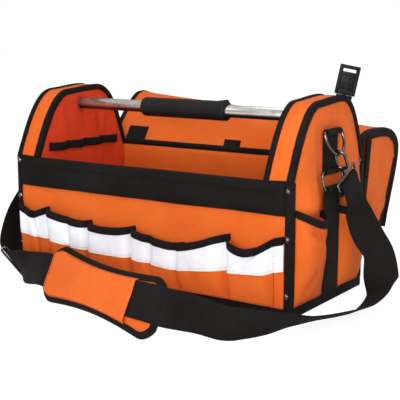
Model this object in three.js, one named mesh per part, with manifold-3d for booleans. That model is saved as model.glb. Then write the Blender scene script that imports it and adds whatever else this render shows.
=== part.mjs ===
// Open-top tool tote: stiff cloth body with pleated pockets, tube handle, shoulder strap and a lid thrown back.
// Units are millimetres. X runs along the handle, Y from front to back, Z up, origin under the base centre.
import * as THREE from "three";
import { mergeVertices } from "three/addons/utils/BufferGeometryUtils.js";
import Module from "manifold-3d";

const wasm = await Module();
wasm.setup();

// Driving dimensions
const HALF_LENGTH = 250;
const HALF_DEPTH = 113;
const WALL_HEIGHT = 190;
const WALL = 2.5;
const POCKET_CLOTH = 2;
const SEAM = 0.3;
const BASE = { floor: 4, rimHeight: 14, rim: 3, cornerRadius: 7 };
const BAND_BOTTOM = 144;
const CORNER = { face: 9, side: 11, thickness: 2.2 };
const END = { thickness: 40, outlineSteps: 22, handleHeight: 270 };
const HANDLE = { radius: 9.5, wall: 1.5, gripRadius: 15, gripHalf: 79, slit: 1.6 };
const WEBBING = { width: 50, thickness: 2.4 };
const BINDING = { leg: 6.5, thickness: 2.5 };
const POCKET = { tapeThickness: 1, bindingHeight: 10, fullness: 2.6 };
const D_RING = { half: 27, drop: 34, wire: 2.3, lean: 0.32, height: 250 };
const SIDE_RING = { half: 31, wire: 2 };
const HOOK = {
  wire: 2.4, crown: 8, clearance: 0.7, length: 27, gateLength: 11, gateRadius: 1.8, eyeHalf: 30, eyeWire: 2,
};
const PAD = {
  halfLength: 131, halfWidth: 39.5, waist: 10.5, thickness: 9, edge: 4, sleeveFrom: -0.96, sleeveTo: 0.6,
  yaw: -0.288, tilt: 1.15,
};
const LID = { halfWidth: 240, thickness: 3, binding: 7, rows: 13 };

// Front pocket slots from left to right: left seam, mouth and tape hem heights there, mouth sag, bulge, owning node
const SLOTS = [
  { x: -242.4, mouth: 108, hem: 68, sag: 0, bulge: 11, node: 1, columns: 4 },
  { x: -212, mouth: 94, hem: 63, sag: 0, bulge: 8, node: 1, columns: 4 },
  { x: -185, mouth: 104, hem: 63, sag: 2, bulge: 16, node: 2, columns: 8 },
  { x: -97, mouth: 92, hem: 55, sag: 4, bulge: 18, node: 3, columns: 8 },
  { x: -12, mouth: 93, hem: 55, sag: 2, bulge: 17, node: 4, columns: 8 },
  { x: 78, mouth: 79, hem: 48, sag: 4, bulge: 18, node: 5, columns: 8 },
  { x: 156, mouth: 101, hem: 58, sag: 15, bulge: 20, node: 6, columns: 8 },
  { x: 227, mouth: 103, hem: 64, sag: 0, bulge: 0.6, node: 6, columns: 1 },
  { x: 242.4, mouth: 107, hem: 68 },
];

// Parts of an end pocket from front to back: start, mouth and fold heights there, mouth sag, bulge
const END_SLOTS = [
  { y: -101.4, mouth: 142, hem: 100, sag: 10, bulge: 20, columns: 6 },
  { y: -26, mouth: 126, hem: 84, sag: 0, bulge: 0.6, columns: 1 },
  { y: 26, mouth: 126, hem: 84, sag: 10, bulge: 20, columns: 6 },
  { y: 101.4, mouth: 142, hem: 100 },
];

// Right strap run from the hook eye to the pad: centre and direction across the webbing
const STRAP_RIGHT = [
  { at: [282, 36, 130], across: [0.3, 0.87, 0.38] },
  { at: [298, 36, 98], across: [0.5, 0.78, 0.38] },
  { at: [316, 34, 74], across: [0.5, 0.82, 0.26] },
  { at: [328.5, 22, 50.5], across: [0.68, 0.66, 0.24] },
  { at: [338, -2, 29], across: [0.85, -0.3, 0.4] },
  { at: [334, -34, 15], across: [0.82, -0.34, 0.46] },
  { at: [323, -68, 13], across: [0.87, -0.24, 0.43] },
  { at: [306, -106, 13], across: [0.87, -0.29, 0.41] },
  { at: [290, -150, 15], across: [0.8, -0.35, 0.48] },
  { at: [275, -194, 20.5], across: [0.52, -0.4, 0.74] },
  { at: [252, -232, 26], across: [0.25, -0.25, 0.93] },
  { at: [228, -246, 27], across: [0.12, -0.1, 0.98] },
  { at: [196, -257, 35], across: [0.1, 0.05, 0.99] },
];

// Left strap run from the hook eye to the pad
const STRAP_LEFT = [
  { at: [-281, -46, 128], across: [-0.1, -0.84, 0.52] },
  { at: [-286, -82, 84], across: [-0.1, -0.78, 0.6] },
  { at: [-279, -105, 50], across: [-0.3, -0.6, 0.72] },
  { at: [-256, -136, 30], across: [-0.45, -0.3, 0.82] },
  { at: [-222, -160, 28], across: [-0.6, -0.3, 0.74] },
  { at: [-176, -180, 29], across: [0.05, 0.15, 0.98] },
];
const SLIDER_STATION = 4;

// Lid section at its left and right edge, from the hinge seam over the crest to the hem
const LID_LEFT = [[117.2, 191], [150, 236], [200, 276], [240, 262], [258, 200], [250, 78]];
const LID_RIGHT = [[117.2, 191], [127, 228], [180, 237], [238, 228], [261, 203], [219, 80]];

// Rows of the lid's section where a flap's upper edge starts and ends
const FLAP_TOP = { from: 4, to: 11 };

// Lower outline of a lid flap, from its back edge round to its front edge
const FLAP_LOWER = [[221, 112], [195, 79], [166, 62], [145, 71], [136, 112]];

const COLOURS = {
  orange: { color: 0xf2571c, roughness: 0.85, metalness: 0 },
  lining: { color: 0xd8481a, roughness: 0.9, metalness: 0 },
  black: { color: 0x17171a, roughness: 0.9, metalness: 0 },
  tape: { color: 0xdcdce2, roughness: 0.5, metalness: 0 },
  steel: { color: 0xc4c6ca, roughness: 0.25, metalness: 1 },
  grip: { color: 0x1b1b1d, roughness: 0.7, metalness: 0 },
  plastic: { color: 0x141416, roughness: 0.5, metalness: 0 },
};

const group = new THREE.Group();
const lerp = THREE.MathUtils.lerp;
const AXIS_X = new THREE.Vector3(1, 0, 0);
const AXIS_Y = new THREE.Vector3(0, 1, 0);
const AXIS_Z = new THREE.Vector3(0, 0, 1);

function vec(x, y, z) {
  return new THREE.Vector3(x, y, z);
}

function addMesh(parent, name, geometry, finish) {
  const mesh = new THREE.Mesh(geometry, new THREE.MeshStandardMaterial(COLOURS[finish]));
  mesh.name = name;
  parent.add(mesh);
}

function signedVolume(points, index) {
  let volume = 0;
  for (let i = 0; i < index.length; i += 3) {
    const cross = points[index[i + 1]].clone().cross(points[index[i + 2]]);
    volume += points[index[i]].dot(cross) / 6;
  }
  return volume;
}

// Closed solid through rings of equal length; each ring folds in two halves, so an open end is capped by a strip.
function loft(rings, closed = false) {
  const count = rings[0].length;
  const points = rings.flat();
  const index = [];
  const at = (ring, k) => (ring % rings.length) * count + (k % count);
  const spans = closed ? rings.length : rings.length - 1;
  for (let i = 0; i < spans; i += 1) {
    for (let k = 0; k < count; k += 1) {
      index.push(at(i, k), at(i + 1, k), at(i + 1, k + 1), at(i, k), at(i + 1, k + 1), at(i, k + 1));
    }
  }
  if (!closed) {
    const last = rings.length - 1;
    for (let k = 0; k < count / 2 - 1; k += 1) {
      const [a, b, c, d] = [k, k + 1, count - 2 - k, count - 1 - k];
      index.push(at(0, a), at(0, b), at(0, c), at(0, a), at(0, c), at(0, d));
      index.push(at(last, c), at(last, b), at(last, a), at(last, d), at(last, c), at(last, a));
    }
  }
  if (signedVolume(points, index) < 0) {
    index.reverse();
  }
  const geometry = new THREE.BufferGeometry().setFromPoints(points);
  geometry.setIndex(index);
  geometry.computeVertexNormals();
  return geometry;
}

// Sweep of a flat section: each frame gives an origin and the two directions of the section.
function sweep(section, frames, closed = false) {
  const rings = frames.map(({ origin, a, b }) =>
    section.map(([p, q]) => origin.clone().addScaledVector(a, p).addScaledVector(b, q)));
  return loft(rings, closed);
}

function circleSection(radius, sides) {
  const section = [];
  for (let k = 0; k < sides; k += 1) {
    const angle = ((k + 0.5) / sides) * Math.PI * 2;
    section.push([radius * Math.cos(angle), radius * Math.sin(angle)]);
  }
  return section;
}

function barSection(p0, p1, q0, q1) {
  return [[p0, q0], [p1, q0], [p1, q1], [p0, q1]];
}

// Frames along a path drawn in a plane, with `across` and `up` as its two directions.
function pathFrames(points, origin, across, up, closed = false) {
  const normal = across.clone().cross(up);
  return points.map((point, i) => {
    const before = points[closed ? (i + points.length - 1) % points.length : Math.max(i - 1, 0)];
    const after = points[closed ? (i + 1) % points.length : Math.min(i + 1, points.length - 1)];
    const tangent = after.clone().sub(before).normalize();
    const side = across.clone().multiplyScalar(-tangent.y).addScaledVector(up, tangent.x);
    const place = origin.clone().addScaledVector(across, point.x).addScaledVector(up, point.y);
    return { origin: place, a: side, b: normal };
  });
}

function closedPoints(path, steps) {
  return path.getSpacedPoints(steps).slice(0, steps);
}

function box(x0, x1, y0, y1, z0, z1) {
  const geometry = new THREE.BoxGeometry(x1 - x0, y1 - y0, z1 - z0);
  return geometry.translate((x0 + x1) / 2, (y0 + y1) / 2, (z0 + z1) / 2);
}

function toManifold(geometry) {
  const plain = geometry.clone();
  plain.deleteAttribute("normal");
  plain.deleteAttribute("uv");
  const merged = mergeVertices(plain, 1e-5);
  const mesh = new wasm.Mesh({
    numProp: 3,
    vertProperties: new Float32Array(merged.attributes.position.array),
    triVerts: new Uint32Array(merged.index.array),
  });
  return new wasm.Manifold(mesh);
}

function fromManifold(body) {
  const mesh = body.getMesh();
  const geometry = new THREE.BufferGeometry();
  geometry.setAttribute("position", new THREE.BufferAttribute(new Float32Array(mesh.vertProperties), 3));
  geometry.setIndex(new THREE.BufferAttribute(new Uint32Array(mesh.triVerts), 1));
  geometry.computeVertexNormals();
  return geometry;
}

function join(...geometries) {
  return fromManifold(wasm.Manifold.union(geometries.map(toManifold)));
}

function cut(geometry, ...tools) {
  return fromManifold(tools.reduce((body, tool) => body.subtract(toManifold(tool)), toManifold(geometry)));
}

// Extrusion of a shape drawn in the YZ plane, from x0 to x1.
function extrudeAlongX(shape, x0, x1, curveSegments = 8) {
  const geometry = new THREE.ExtrudeGeometry(shape, { depth: x1 - x0, bevelEnabled: false, curveSegments });
  const turn = new THREE.Matrix4().makeBasis(AXIS_Y, AXIS_Z, AXIS_X);
  return geometry.applyMatrix4(turn).translate(x0, 0, 0);
}

function extrudeAlongZ(shape, z0, z1, curveSegments = 4) {
  const geometry = new THREE.ExtrudeGeometry(shape, { depth: z1 - z0, bevelEnabled: false, curveSegments });
  return geometry.translate(0, 0, z0);
}

// Body: base tray, walls, front band, back binding and corner strips

function roundedRectangle(halfX, halfY, radius) {
  const shape = new THREE.Shape();
  shape.absarc(halfX - radius, halfY - radius, radius, 0, Math.PI / 2);
  shape.absarc(radius - halfX, halfY - radius, radius, Math.PI / 2, Math.PI);
  shape.absarc(radius - halfX, radius - halfY, radius, Math.PI, Math.PI * 1.5);
  shape.absarc(halfX - radius, radius - halfY, radius, Math.PI * 1.5, Math.PI * 2);
  return shape;
}

function buildBody() {
  const halfX = HALF_LENGTH + SEAM;
  const halfY = HALF_DEPTH + SEAM;
  const outline = roundedRectangle(halfX + BASE.rim, halfY + BASE.rim, BASE.cornerRadius);
  const tray = extrudeAlongZ(outline, 0, BASE.rimHeight);
  const hollow = box(-halfX, halfX, -halfY, halfY, BASE.floor, BASE.rimHeight + 10);
  addMesh(group, "base", cut(tray, hollow), "black");

  const wallFoot = BASE.floor + SEAM;
  const wall = (y0, y1) => box(-HALF_LENGTH, HALF_LENGTH, y0, y1, wallFoot, WALL_HEIGHT);
  addMesh(group, "front_wall", wall(-HALF_DEPTH, WALL - HALF_DEPTH), "lining");
  addMesh(group, "back_wall", wall(HALF_DEPTH - WALL, HALF_DEPTH), "lining");

  const bandHalf = HALF_LENGTH - CORNER.face + 1.4;
  const bandBack = -HALF_DEPTH - SEAM;
  const band = box(-bandHalf, bandHalf, bandBack - CORNER.thickness, bandBack, BAND_BOTTOM, WALL_HEIGHT);
  addMesh(group, "front_band", band, "black");

  const backHalf = HALF_LENGTH - END.thickness - 3.5;
  const backBinding = box(-backHalf, backHalf, HALF_DEPTH - 3.5, HALF_DEPTH + 3.8, WALL_HEIGHT + SEAM, 200);
  addMesh(group, "back_wall_binding", backBinding, "black");

  for (const [name, signX, signY] of [["front_left", -1, -1], ["front_right", 1, -1],
    ["back_left", -1, 1], ["back_right", 1, 1]]) {
    const t = CORNER.thickness;
    const corners = [
      [halfX - CORNER.face + 2, halfY], [halfX, halfY], [halfX, halfY - CORNER.side],
      [halfX + t, halfY - CORNER.side], [halfX + t, halfY + t * 0.4], [halfX + t * 0.4, halfY + t],
      [halfX - CORNER.face + 2, halfY + t],
    ];
    const shape = new THREE.Shape(corners.map(([x, y]) => new THREE.Vector2(signX * x, signY * y)));
    const strip = extrudeAlongZ(shape, BASE.rimHeight + SEAM, WALL_HEIGHT - SEAM);
    addMesh(group, `corner_strip_${name}`, strip, "black");
  }
}

// Front pockets: pleated cloth with a sagging mouth, reflective tape under the mouth and a bound edge

function slotColumns(slots, axis) {
  const columns = [];
  for (let i = 0; i + 1 < slots.length; i += 1) {
    const [slot, next] = [slots[i], slots[i + 1]];
    for (let k = i === 0 ? 0 : 1; k <= slot.columns; k += 1) {
      const s = k / slot.columns;
      const spread = 1 - Math.abs(2 * s - 1) ** POCKET.fullness;
      const mouth = lerp(slot.mouth, next.mouth, s) - slot.sag * 4 * s * (1 - s);
      const hem = lerp(slot.hem, next.hem, s);
      columns.push({ along: lerp(slot[axis], next[axis], s), mouth, hem, depth: slot.bulge * spread });
    }
  }
  return columns;
}

function trimEnds(columns) {
  const last = columns.length - 1;
  return columns.map((column, i) => {
    const shift = (i === 0 ? SEAM / 2 : 0) - (i === last ? SEAM / 2 : 0);
    return { ...column, along: column.along + shift };
  });
}

// Cloth of one pocket; `place` turns (along, outward, height) into a point.
function pocketCloth(columns, place) {
  const foot = BASE.rimHeight + SEAM;
  const rings = columns.map(({ along, mouth, hem, depth }) => {
    const levels = [[foot, 0.3], [lerp(foot, hem, 0.5), 0.82], [hem, 1], [mouth, 1]];
    const outer = levels.map(([z, fill]) => place(along, SEAM + POCKET_CLOTH + depth * fill, z));
    const inner = levels.map(([z, fill]) => place(along, SEAM + depth * fill, z));
    return [...outer, ...inner.reverse()];
  });
  return loft(rings);
}

function mouthBinding(columns, place) {
  const top = POCKET.bindingHeight;
  const section = [[-2, SEAM], [-1.6, top - 1.6], [0.3, top], [2, top - 1.6], [2.6, SEAM], [0.3, SEAM]];
  const rings = columns.map(({ along, mouth, depth }) =>
    section.map(([p, q]) => place(along, SEAM + POCKET_CLOTH + depth + p, mouth + q)));
  return loft(rings);
}

function buildFront() {
  const place = (along, out, z) => vec(along, -HALF_DEPTH - out, z);
  const nodes = [...new Set(SLOTS.filter((slot) => slot.node).map((slot) => slot.node))];
  for (const node of nodes) {
    const first = SLOTS.findIndex((slot) => slot.node === node);
    const count = SLOTS.filter((slot) => slot.node === node).length;
    const columns = trimEnds(slotColumns(SLOTS.slice(first, first + count + 1), "x"));
    addMesh(group, `front_pocket_${node}`, pocketCloth(columns, place), "orange");
  }
  const columns = trimEnds(slotColumns(SLOTS, "x"));
  const tapeIn = SEAM + POCKET_CLOTH + 0.5;
  const tape = columns.map(({ along, mouth, hem, depth }) => {
    const [low, high] = [hem, mouth - 0.2];
    const [inner, outer] = [tapeIn + depth, tapeIn + depth + POCKET.tapeThickness];
    return [place(along, outer, low), place(along, outer, high), place(along, inner, high), place(along, inner, low)];
  });
  addMesh(group, "reflective_tape", loft(tape), "tape");
  addMesh(group, "pocket_binding", mouthBinding(columns, place), "black");
}

// Ends: two panels with a gusset between them, bound edges, end pocket, webbing and metalwork

function endOutline() {
  const path = new THREE.Path();
  path.moveTo(-HALF_DEPTH, WALL_HEIGHT + SEAM);
  path.bezierCurveTo(-97, 226, -72, 291, -34, 292.5);
  path.bezierCurveTo(-10, 293.5, 12, 297, 36, 297);
  path.bezierCurveTo(79, 297, 95, 238, HALF_DEPTH, WALL_HEIGHT + SEAM);
  return path;
}

function outlineFrames() {
  const path = endOutline();
  const frames = [];
  for (let i = 0; i <= END.outlineSteps; i += 1) {
    const u = i / END.outlineSteps;
    const point = path.getPointAt(u);
    const tangent = path.getTangentAt(u);
    frames.push({ origin: vec(0, point.x, point.y), a: vec(0, -tangent.y, tangent.x), b: AXIS_X });
  }
  frames[0].a = vec(0, -1, 0);
  frames[END.outlineSteps].a = vec(0, 1, 0);
  return frames;
}

function endPanelShape(inset) {
  const edge = HALF_DEPTH - WALL - SEAM;
  const foot = BASE.floor + SEAM;
  const points = [new THREE.Vector2(-edge, foot)];
  for (const { origin, a } of outlineFrames()) {
    points.push(new THREE.Vector2(origin.y - a.y * inset, origin.z - a.z * inset));
  }
  points.push(new THREE.Vector2(edge, foot));
  return new THREE.Shape(points.reverse());
}

function stripFrames(path, divisions) {
  return pathFrames(path.getSpacedPoints(divisions), vec(0, 0, 0), AXIS_X, AXIS_Z);
}

function webbingSection(width, thickness) {
  return barSection(-thickness / 2, thickness / 2, -width / 2, width / 2);
}

function rectangleRing(halfWidth, height, radius) {
  const path = new THREE.Path();
  path.absarc(halfWidth - radius, radius, radius, -Math.PI / 2, 0);
  path.absarc(halfWidth - radius, height - radius, radius, 0, Math.PI / 2);
  path.absarc(radius - halfWidth, height - radius, radius, Math.PI / 2, Math.PI);
  path.absarc(radius - halfWidth, radius, radius, Math.PI, Math.PI * 1.5);
  path.closePath();
  return path;
}

function dRingPath() {
  const path = new THREE.Path();
  const arc = D_RING.drop - D_RING.half;
  path.moveTo(D_RING.half - 3, 0);
  path.absarc(D_RING.half - 3, -3, 3, Math.PI / 2, 0, true);
  path.absarc(0, -arc, D_RING.half, 0, -Math.PI, true);
  path.absarc(3 - D_RING.half, -3, 3, Math.PI, Math.PI / 2, true);
  path.closePath();
  return path;
}

function buildEndCloth(parent, side) {
  const innerFace = HALF_LENGTH - END.thickness;
  const panel = endPanelShape(WALL + SEAM);
  addMesh(parent, `end_outer_${side}`, extrudeAlongX(panel, HALF_LENGTH - WALL, HALF_LENGTH), "orange");
  const innerPanel = endPanelShape(WALL + SEAM);
  const hole = new THREE.Path();
  hole.absarc(0, END.handleHeight, HANDLE.radius + SEAM, 0, Math.PI * 2);
  innerPanel.holes.push(hole);
  addMesh(parent, `end_inner_${side}`, extrudeAlongX(innerPanel, innerFace, innerFace + WALL), "lining");

  const frames = outlineFrames();
  const gap = WALL + SEAM;
  const gusset = barSection(-WALL, 0, innerFace + gap, HALF_LENGTH - gap);
  addMesh(parent, `end_gusset_${side}`, sweep(gusset, frames), "orange");
  const [leg, t] = [BINDING.leg, BINDING.thickness];
  const bead = [[t - 0.4, -leg], [t, t], [-leg, t - 0.4], [-leg, SEAM], [SEAM, SEAM], [SEAM, -leg]];
  const outer = bead.map(([p, q]) => [p, HALF_LENGTH + q]);
  const inner = bead.map(([p, q]) => [p, innerFace - q]);
  addMesh(parent, `end_binding_outer_${side}`, sweep(outer, frames), "black");
  addMesh(parent, `end_binding_inner_${side}`, sweep(inner, frames), "black");

  const place = (along, out, z) => vec(HALF_LENGTH + out, along, z);
  const columns = slotColumns(END_SLOTS, "y");
  addMesh(parent, `end_pocket_${side}`, pocketCloth(columns, place), "orange");
  addMesh(parent, `end_pocket_binding_${side}`, mouthBinding(columns, place), "black");
}

function buildEndMetal(parent, side) {
  const loopGap = 0.6 + 1;
  const faceLine = HALF_LENGTH + SEAM + 1;
  const dLoop = D_RING.wire + loopGap;
  const ringLoop = SIDE_RING.wire + loopGap;
  const ringTop = { x: faceLine + ringLoop, z: 194 };
  const ringBottom = { x: 259.5, z: 170 };

  const patch = new THREE.Path();
  patch.absarc(faceLine + dLoop, D_RING.height, dLoop, -Math.PI / 3, Math.PI);
  patch.lineTo(faceLine, ringTop.z);
  patch.absarc(ringTop.x, ringTop.z, ringLoop, Math.PI, Math.PI * 2.3);
  const web = webbingSection(WEBBING.width - 5, 2);
  addMesh(parent, `end_patch_${side}`, sweep(web, stripFrames(patch, 30)), "black");

  const lower = new THREE.Path();
  lower.absarc(ringBottom.x, ringBottom.z, ringLoop, Math.PI, -Math.PI / 3, true);
  const foot = { origin: vec(ringBottom.x - ringLoop, 0, BASE.rimHeight + SEAM), a: vec(-1, 0, 0), b: vec(0, -1, 0) };
  const lowerWeb = webbingSection(WEBBING.width - 2, 2);
  addMesh(parent, `end_webbing_${side}`, sweep(lowerWeb, [foot, ...stripFrames(lower, 8)]), "black");

  const slant = vec(ringTop.x - ringBottom.x, 0, ringTop.z - ringBottom.z);
  const height = slant.length();
  const ring = closedPoints(rectangleRing(SIDE_RING.half, height, 4), 22);
  const ringFrames = pathFrames(ring, vec(ringBottom.x, 0, ringBottom.z), AXIS_Y, slant.normalize(), true);
  addMesh(parent, `side_ring_${side}`, sweep(circleSection(SIDE_RING.wire, 6), ringFrames, true), "steel");

  const hang = vec(-Math.sin(D_RING.lean), 0, Math.cos(D_RING.lean));
  const top = vec(faceLine + dLoop, 0, D_RING.height);
  const dFrames = pathFrames(closedPoints(dRingPath(), 26), top, AXIS_Y, hang, true);
  addMesh(parent, `d_ring_${side}`, sweep(circleSection(D_RING.wire, 6), dFrames, true), "steel");
  return top.addScaledVector(hang, -D_RING.drop);
}

// Snap hook in its own frame: origin at the ring wire it hangs from, crown up, strap eye below.

function hookBody() {
  const { crown, length, wire, eyeHalf, eyeWire } = HOOK;
  const rise = hookRise();
  const path = new THREE.Path();
  path.moveTo(-crown, rise - 5);
  path.lineTo(-crown, rise);
  path.absarc(0, rise, crown, Math.PI, 0, true);
  path.lineTo(crown, rise - 13);
  path.absarc(0, rise - 13, crown, 0, -Math.PI * 0.79, true);
  const frames = pathFrames(path.getSpacedPoints(22), vec(0, 0, 0), AXIS_X, AXIS_Z);
  const wireBody = sweep(circleSection(wire, 6), frames);
  const boss = new THREE.CylinderGeometry(4.2, 4.2, 9, 10);
  boss.rotateX(Math.PI / 2).translate(0, 0, -length - 1);
  const eye = closedPoints(rectangleRing(eyeHalf, 12, 3), 22);
  const eyeFrames = pathFrames(eye, vec(0, 0, eyeBarHeight()), AXIS_Y, AXIS_Z, true);
  return join(wireBody, boss, sweep(circleSection(eyeWire, 6), eyeFrames, true));
}

function hookRise() {
  return HOOK.clearance + D_RING.wire + HOOK.wire - HOOK.crown;
}

function eyeBarHeight() {
  return -HOOK.length - 18;
}

function gatePivot() {
  const rise = hookRise();
  return vec(-HOOK.crown, 0, rise - 5 - 0.3 - HOOK.gateLength);
}

function hookGate() {
  const profile = [];
  const r = HOOK.gateRadius;
  for (let k = 0; k <= 3; k += 1) {
    const angle = -Math.PI / 2 + (k / 3) * (Math.PI / 2);
    profile.push(new THREE.Vector2(r * Math.cos(angle) + (k === 0 ? -r * Math.cos(angle) : 0), r * Math.sin(angle)));
  }
  profile.push(new THREE.Vector2(r, HOOK.gateLength), new THREE.Vector2(0, HOOK.gateLength));
  const pivot = gatePivot();
  return new THREE.LatheGeometry(profile, 8).rotateX(Math.PI / 2).translate(pivot.x, pivot.y, pivot.z);
}

function hookTurn(side) {
  const out = side === "right" ? 1 : -1;
  const pull = vec(out * 0.1, out * 0.45, -0.89).normalize();
  const turn = new THREE.Quaternion().setFromUnitVectors(vec(0, 0, -1), pull);
  const face = new THREE.Quaternion().setFromAxisAngle(AXIS_Z, side === "right" ? 0 : Math.PI);
  return turn.multiply(face);
}

function buildHook(side, hangPoint) {
  const hook = new THREE.Group();
  hook.position.copy(hangPoint);
  hook.quaternion.copy(hookTurn(side));
  addMesh(hook, `snap_hook_${side}`, hookBody(), "steel");
  addMesh(hook, `hook_gate_${side}`, hookGate(), "steel");
  group.add(hook);
}

function buildEnds() {
  const hangPoints = {};
  for (const side of ["right", "left"]) {
    const end = new THREE.Group();
    end.scale.x = side === "right" ? 1 : -1;
    buildEndCloth(end, side);
    hangPoints[side] = buildEndMetal(end, side);
    hangPoints[side].x *= end.scale.x;
    group.add(end);
    buildHook(side, hangPoints[side]);
  }
  return hangPoints;
}

// Tool loop band on the inside of the left end

function buildLoopBand() {
  const face = -(HALF_LENGTH - END.thickness) + SEAM;
  const rings = [];
  const loops = 4;
  const columns = loops * 6;
  for (let i = 0; i <= columns; i += 1) {
    const phase = ((i / columns) * loops) % 1;
    const depth = 13 * Math.sin(Math.PI * phase) ** 0.8;
    const y = lerp(-86, 86, i / columns);
    const [inner, outer] = [face + depth, face + depth + 1.6];
    rings.push([vec(outer, y, 198), vec(outer, y, 211), vec(inner, y, 211), vec(inner, y, 198)]);
  }
  addMesh(group, "tool_loop_band", loft(rings), "black");
}

// Handle tube between the ends, with a split grip

function buildHandle() {
  const halfTube = HALF_LENGTH - WALL - SEAM - 2;
  const { radius, wall, gripRadius, gripHalf, slit } = HANDLE;
  const ring = (inner, outer, half) => [
    new THREE.Vector2(inner, -half), new THREE.Vector2(outer, -half),
    new THREE.Vector2(outer, half), new THREE.Vector2(inner, half), new THREE.Vector2(inner, -half),
  ];
  const lay = (geometry) => geometry.rotateZ(-Math.PI / 2).translate(0, 0, END.handleHeight);
  const tube = lay(new THREE.LatheGeometry(ring(radius - wall, radius, halfTube), 24));
  addMesh(group, "handle_tube", tube, "steel");

  const bore = radius + SEAM;
  const round = 3;
  const profile = [
    new THREE.Vector2(bore, -gripHalf), new THREE.Vector2(gripRadius - round, -gripHalf),
    new THREE.Vector2(gripRadius, round - gripHalf), new THREE.Vector2(gripRadius, gripHalf - round),
    new THREE.Vector2(gripRadius - round, gripHalf), new THREE.Vector2(bore, gripHalf), new THREE.Vector2(bore, -gripHalf),
  ];
  const sleeve = lay(new THREE.LatheGeometry(profile, 24));
  const top = END.handleHeight;
  const slot = box(-gripHalf - 1, gripHalf + 1, -slit / 2, slit / 2, top, top + gripRadius + 1);
  addMesh(group, "handle_grip", cut(sleeve, slot), "grip");
}

// Shoulder strap, slider and pad

function strapFrames(rows, steps) {
  const centres = new THREE.CatmullRomCurve3(rows.map(({ at }) => vec(...at)));
  const acrosses = new THREE.CatmullRomCurve3(rows.map(({ across }) => vec(...across)));
  const frames = [];
  for (let i = 0; i <= steps; i += 1) {
    const u = i / steps;
    const tangent = centres.getTangent(u);
    const across = acrosses.getPoint(u);
    across.addScaledVector(tangent, -across.dot(tangent)).normalize();
    const face = tangent.clone().cross(across);
    frames.push({ origin: centres.getPoint(u), a: across, b: face });
  }
  return frames;
}

// The sewn loop round the hook eye, from its short tail over the bar to the start of the run.
function eyeLoopRows(side, hangPoint) {
  const turn = hookTurn(side);
  const across = vec(0, 1, 0).applyQuaternion(turn);
  const outward = vec(1, 0, 0).applyQuaternion(turn);
  const back = vec(0, 0, 1).applyQuaternion(turn);
  const bar = hangPoint.clone().addScaledVector(back, eyeBarHeight());
  const radius = HOOK.eyeWire + 0.45 + WEBBING.thickness / 2;
  const rows = [];
  const add = (x, z) => {
    const at = bar.clone().addScaledVector(outward, x).addScaledVector(back, z);
    rows.push({ at: at.toArray(), across: across.toArray() });
  };
  add(-radius, -13);
  for (let k = 0; k <= 6; k += 1) {
    const angle = Math.PI * (1 - k / 6);
    add(radius * Math.cos(angle), radius * Math.sin(angle));
  }
  add(radius, -13);
  add(radius, -26);
  return rows;
}

// Rows where the webbing lies on the pad and runs in under the sleeve.
function padRows(side) {
  const lift = PAD.thickness / 2 + 0.8 + WEBBING.thickness / 2;
  const { across } = padFrame();
  const right = [[1.09, 7], [0.92, 6.5], [0.72, 5], [0.48, 3]];
  const left = [[-1.12, 0], [-1, 0], [-0.9, 0], [-0.8, 0]];
  const stations = side === "right" ? right : left;
  return stations.map(([u, shift]) => {
    const at = padPoint(u, 0, lift).addScaledVector(across, shift);
    return { at: at.toArray(), across: across.toArray() };
  });
}

function buildStrap(hangPoints) {
  const section = barSection(-WEBBING.width / 2, WEBBING.width / 2, -WEBBING.thickness / 2, WEBBING.thickness / 2);
  for (const [side, rows] of [["right", STRAP_RIGHT], ["left", STRAP_LEFT]]) {
    const loop = eyeLoopRows(side, hangPoints[side]);
    const all = [...loop, ...rows, ...padRows(side)];
    const frames = strapFrames(all, (all.length - 1) * 3);
    addMesh(group, `strap_${side}`, sweep(section, frames), "black");
    if (side === "left") {
      const station = frames[(loop.length + SLIDER_STATION) * 3];
      const height = WEBBING.thickness + 6;
      const ring = closedPoints(rectangleRing(WEBBING.width / 2 + 4, height, 3), 24);
      const origin = station.origin.clone().addScaledVector(station.b, -height / 2);
      const ringFrames = pathFrames(ring, origin, station.a, station.b, true);
      addMesh(group, "strap_slider", sweep(circleSection(1.9, 6), ringFrames, true), "steel");
    }
  }
}

function padFrame() {
  const along = vec(Math.cos(PAD.yaw), Math.sin(PAD.yaw), 0);
  const level = vec(-Math.sin(PAD.yaw), Math.cos(PAD.yaw), 0);
  const across = level.multiplyScalar(Math.cos(PAD.tilt)).addScaledVector(AXIS_Z, Math.sin(PAD.tilt));
  return { along, across, up: along.clone().cross(across), centre: vec(30, -246.3, 39.3) };
}

function padHalfWidth(u) {
  const corner = 1 - Math.max(0, Math.abs(u) - 0.82) ** 2 * 12;
  return (PAD.halfWidth - PAD.waist * Math.cos((u * Math.PI) / 2)) * corner;
}

function padPoint(u, v, lift) {
  const { along, across, up, centre } = padFrame();
  const arch = 3 * Math.cos((u * Math.PI) / 2);
  return centre.clone()
    .addScaledVector(along, u * PAD.halfLength)
    .addScaledVector(across, v * padHalfWidth(u))
    .addScaledVector(up, arch + lift);
}

function padThickness(u, v) {
  const fill = (1 - u ** 4) * (1 - v ** 4);
  return PAD.edge + (PAD.thickness - PAD.edge) * fill;
}

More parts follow.
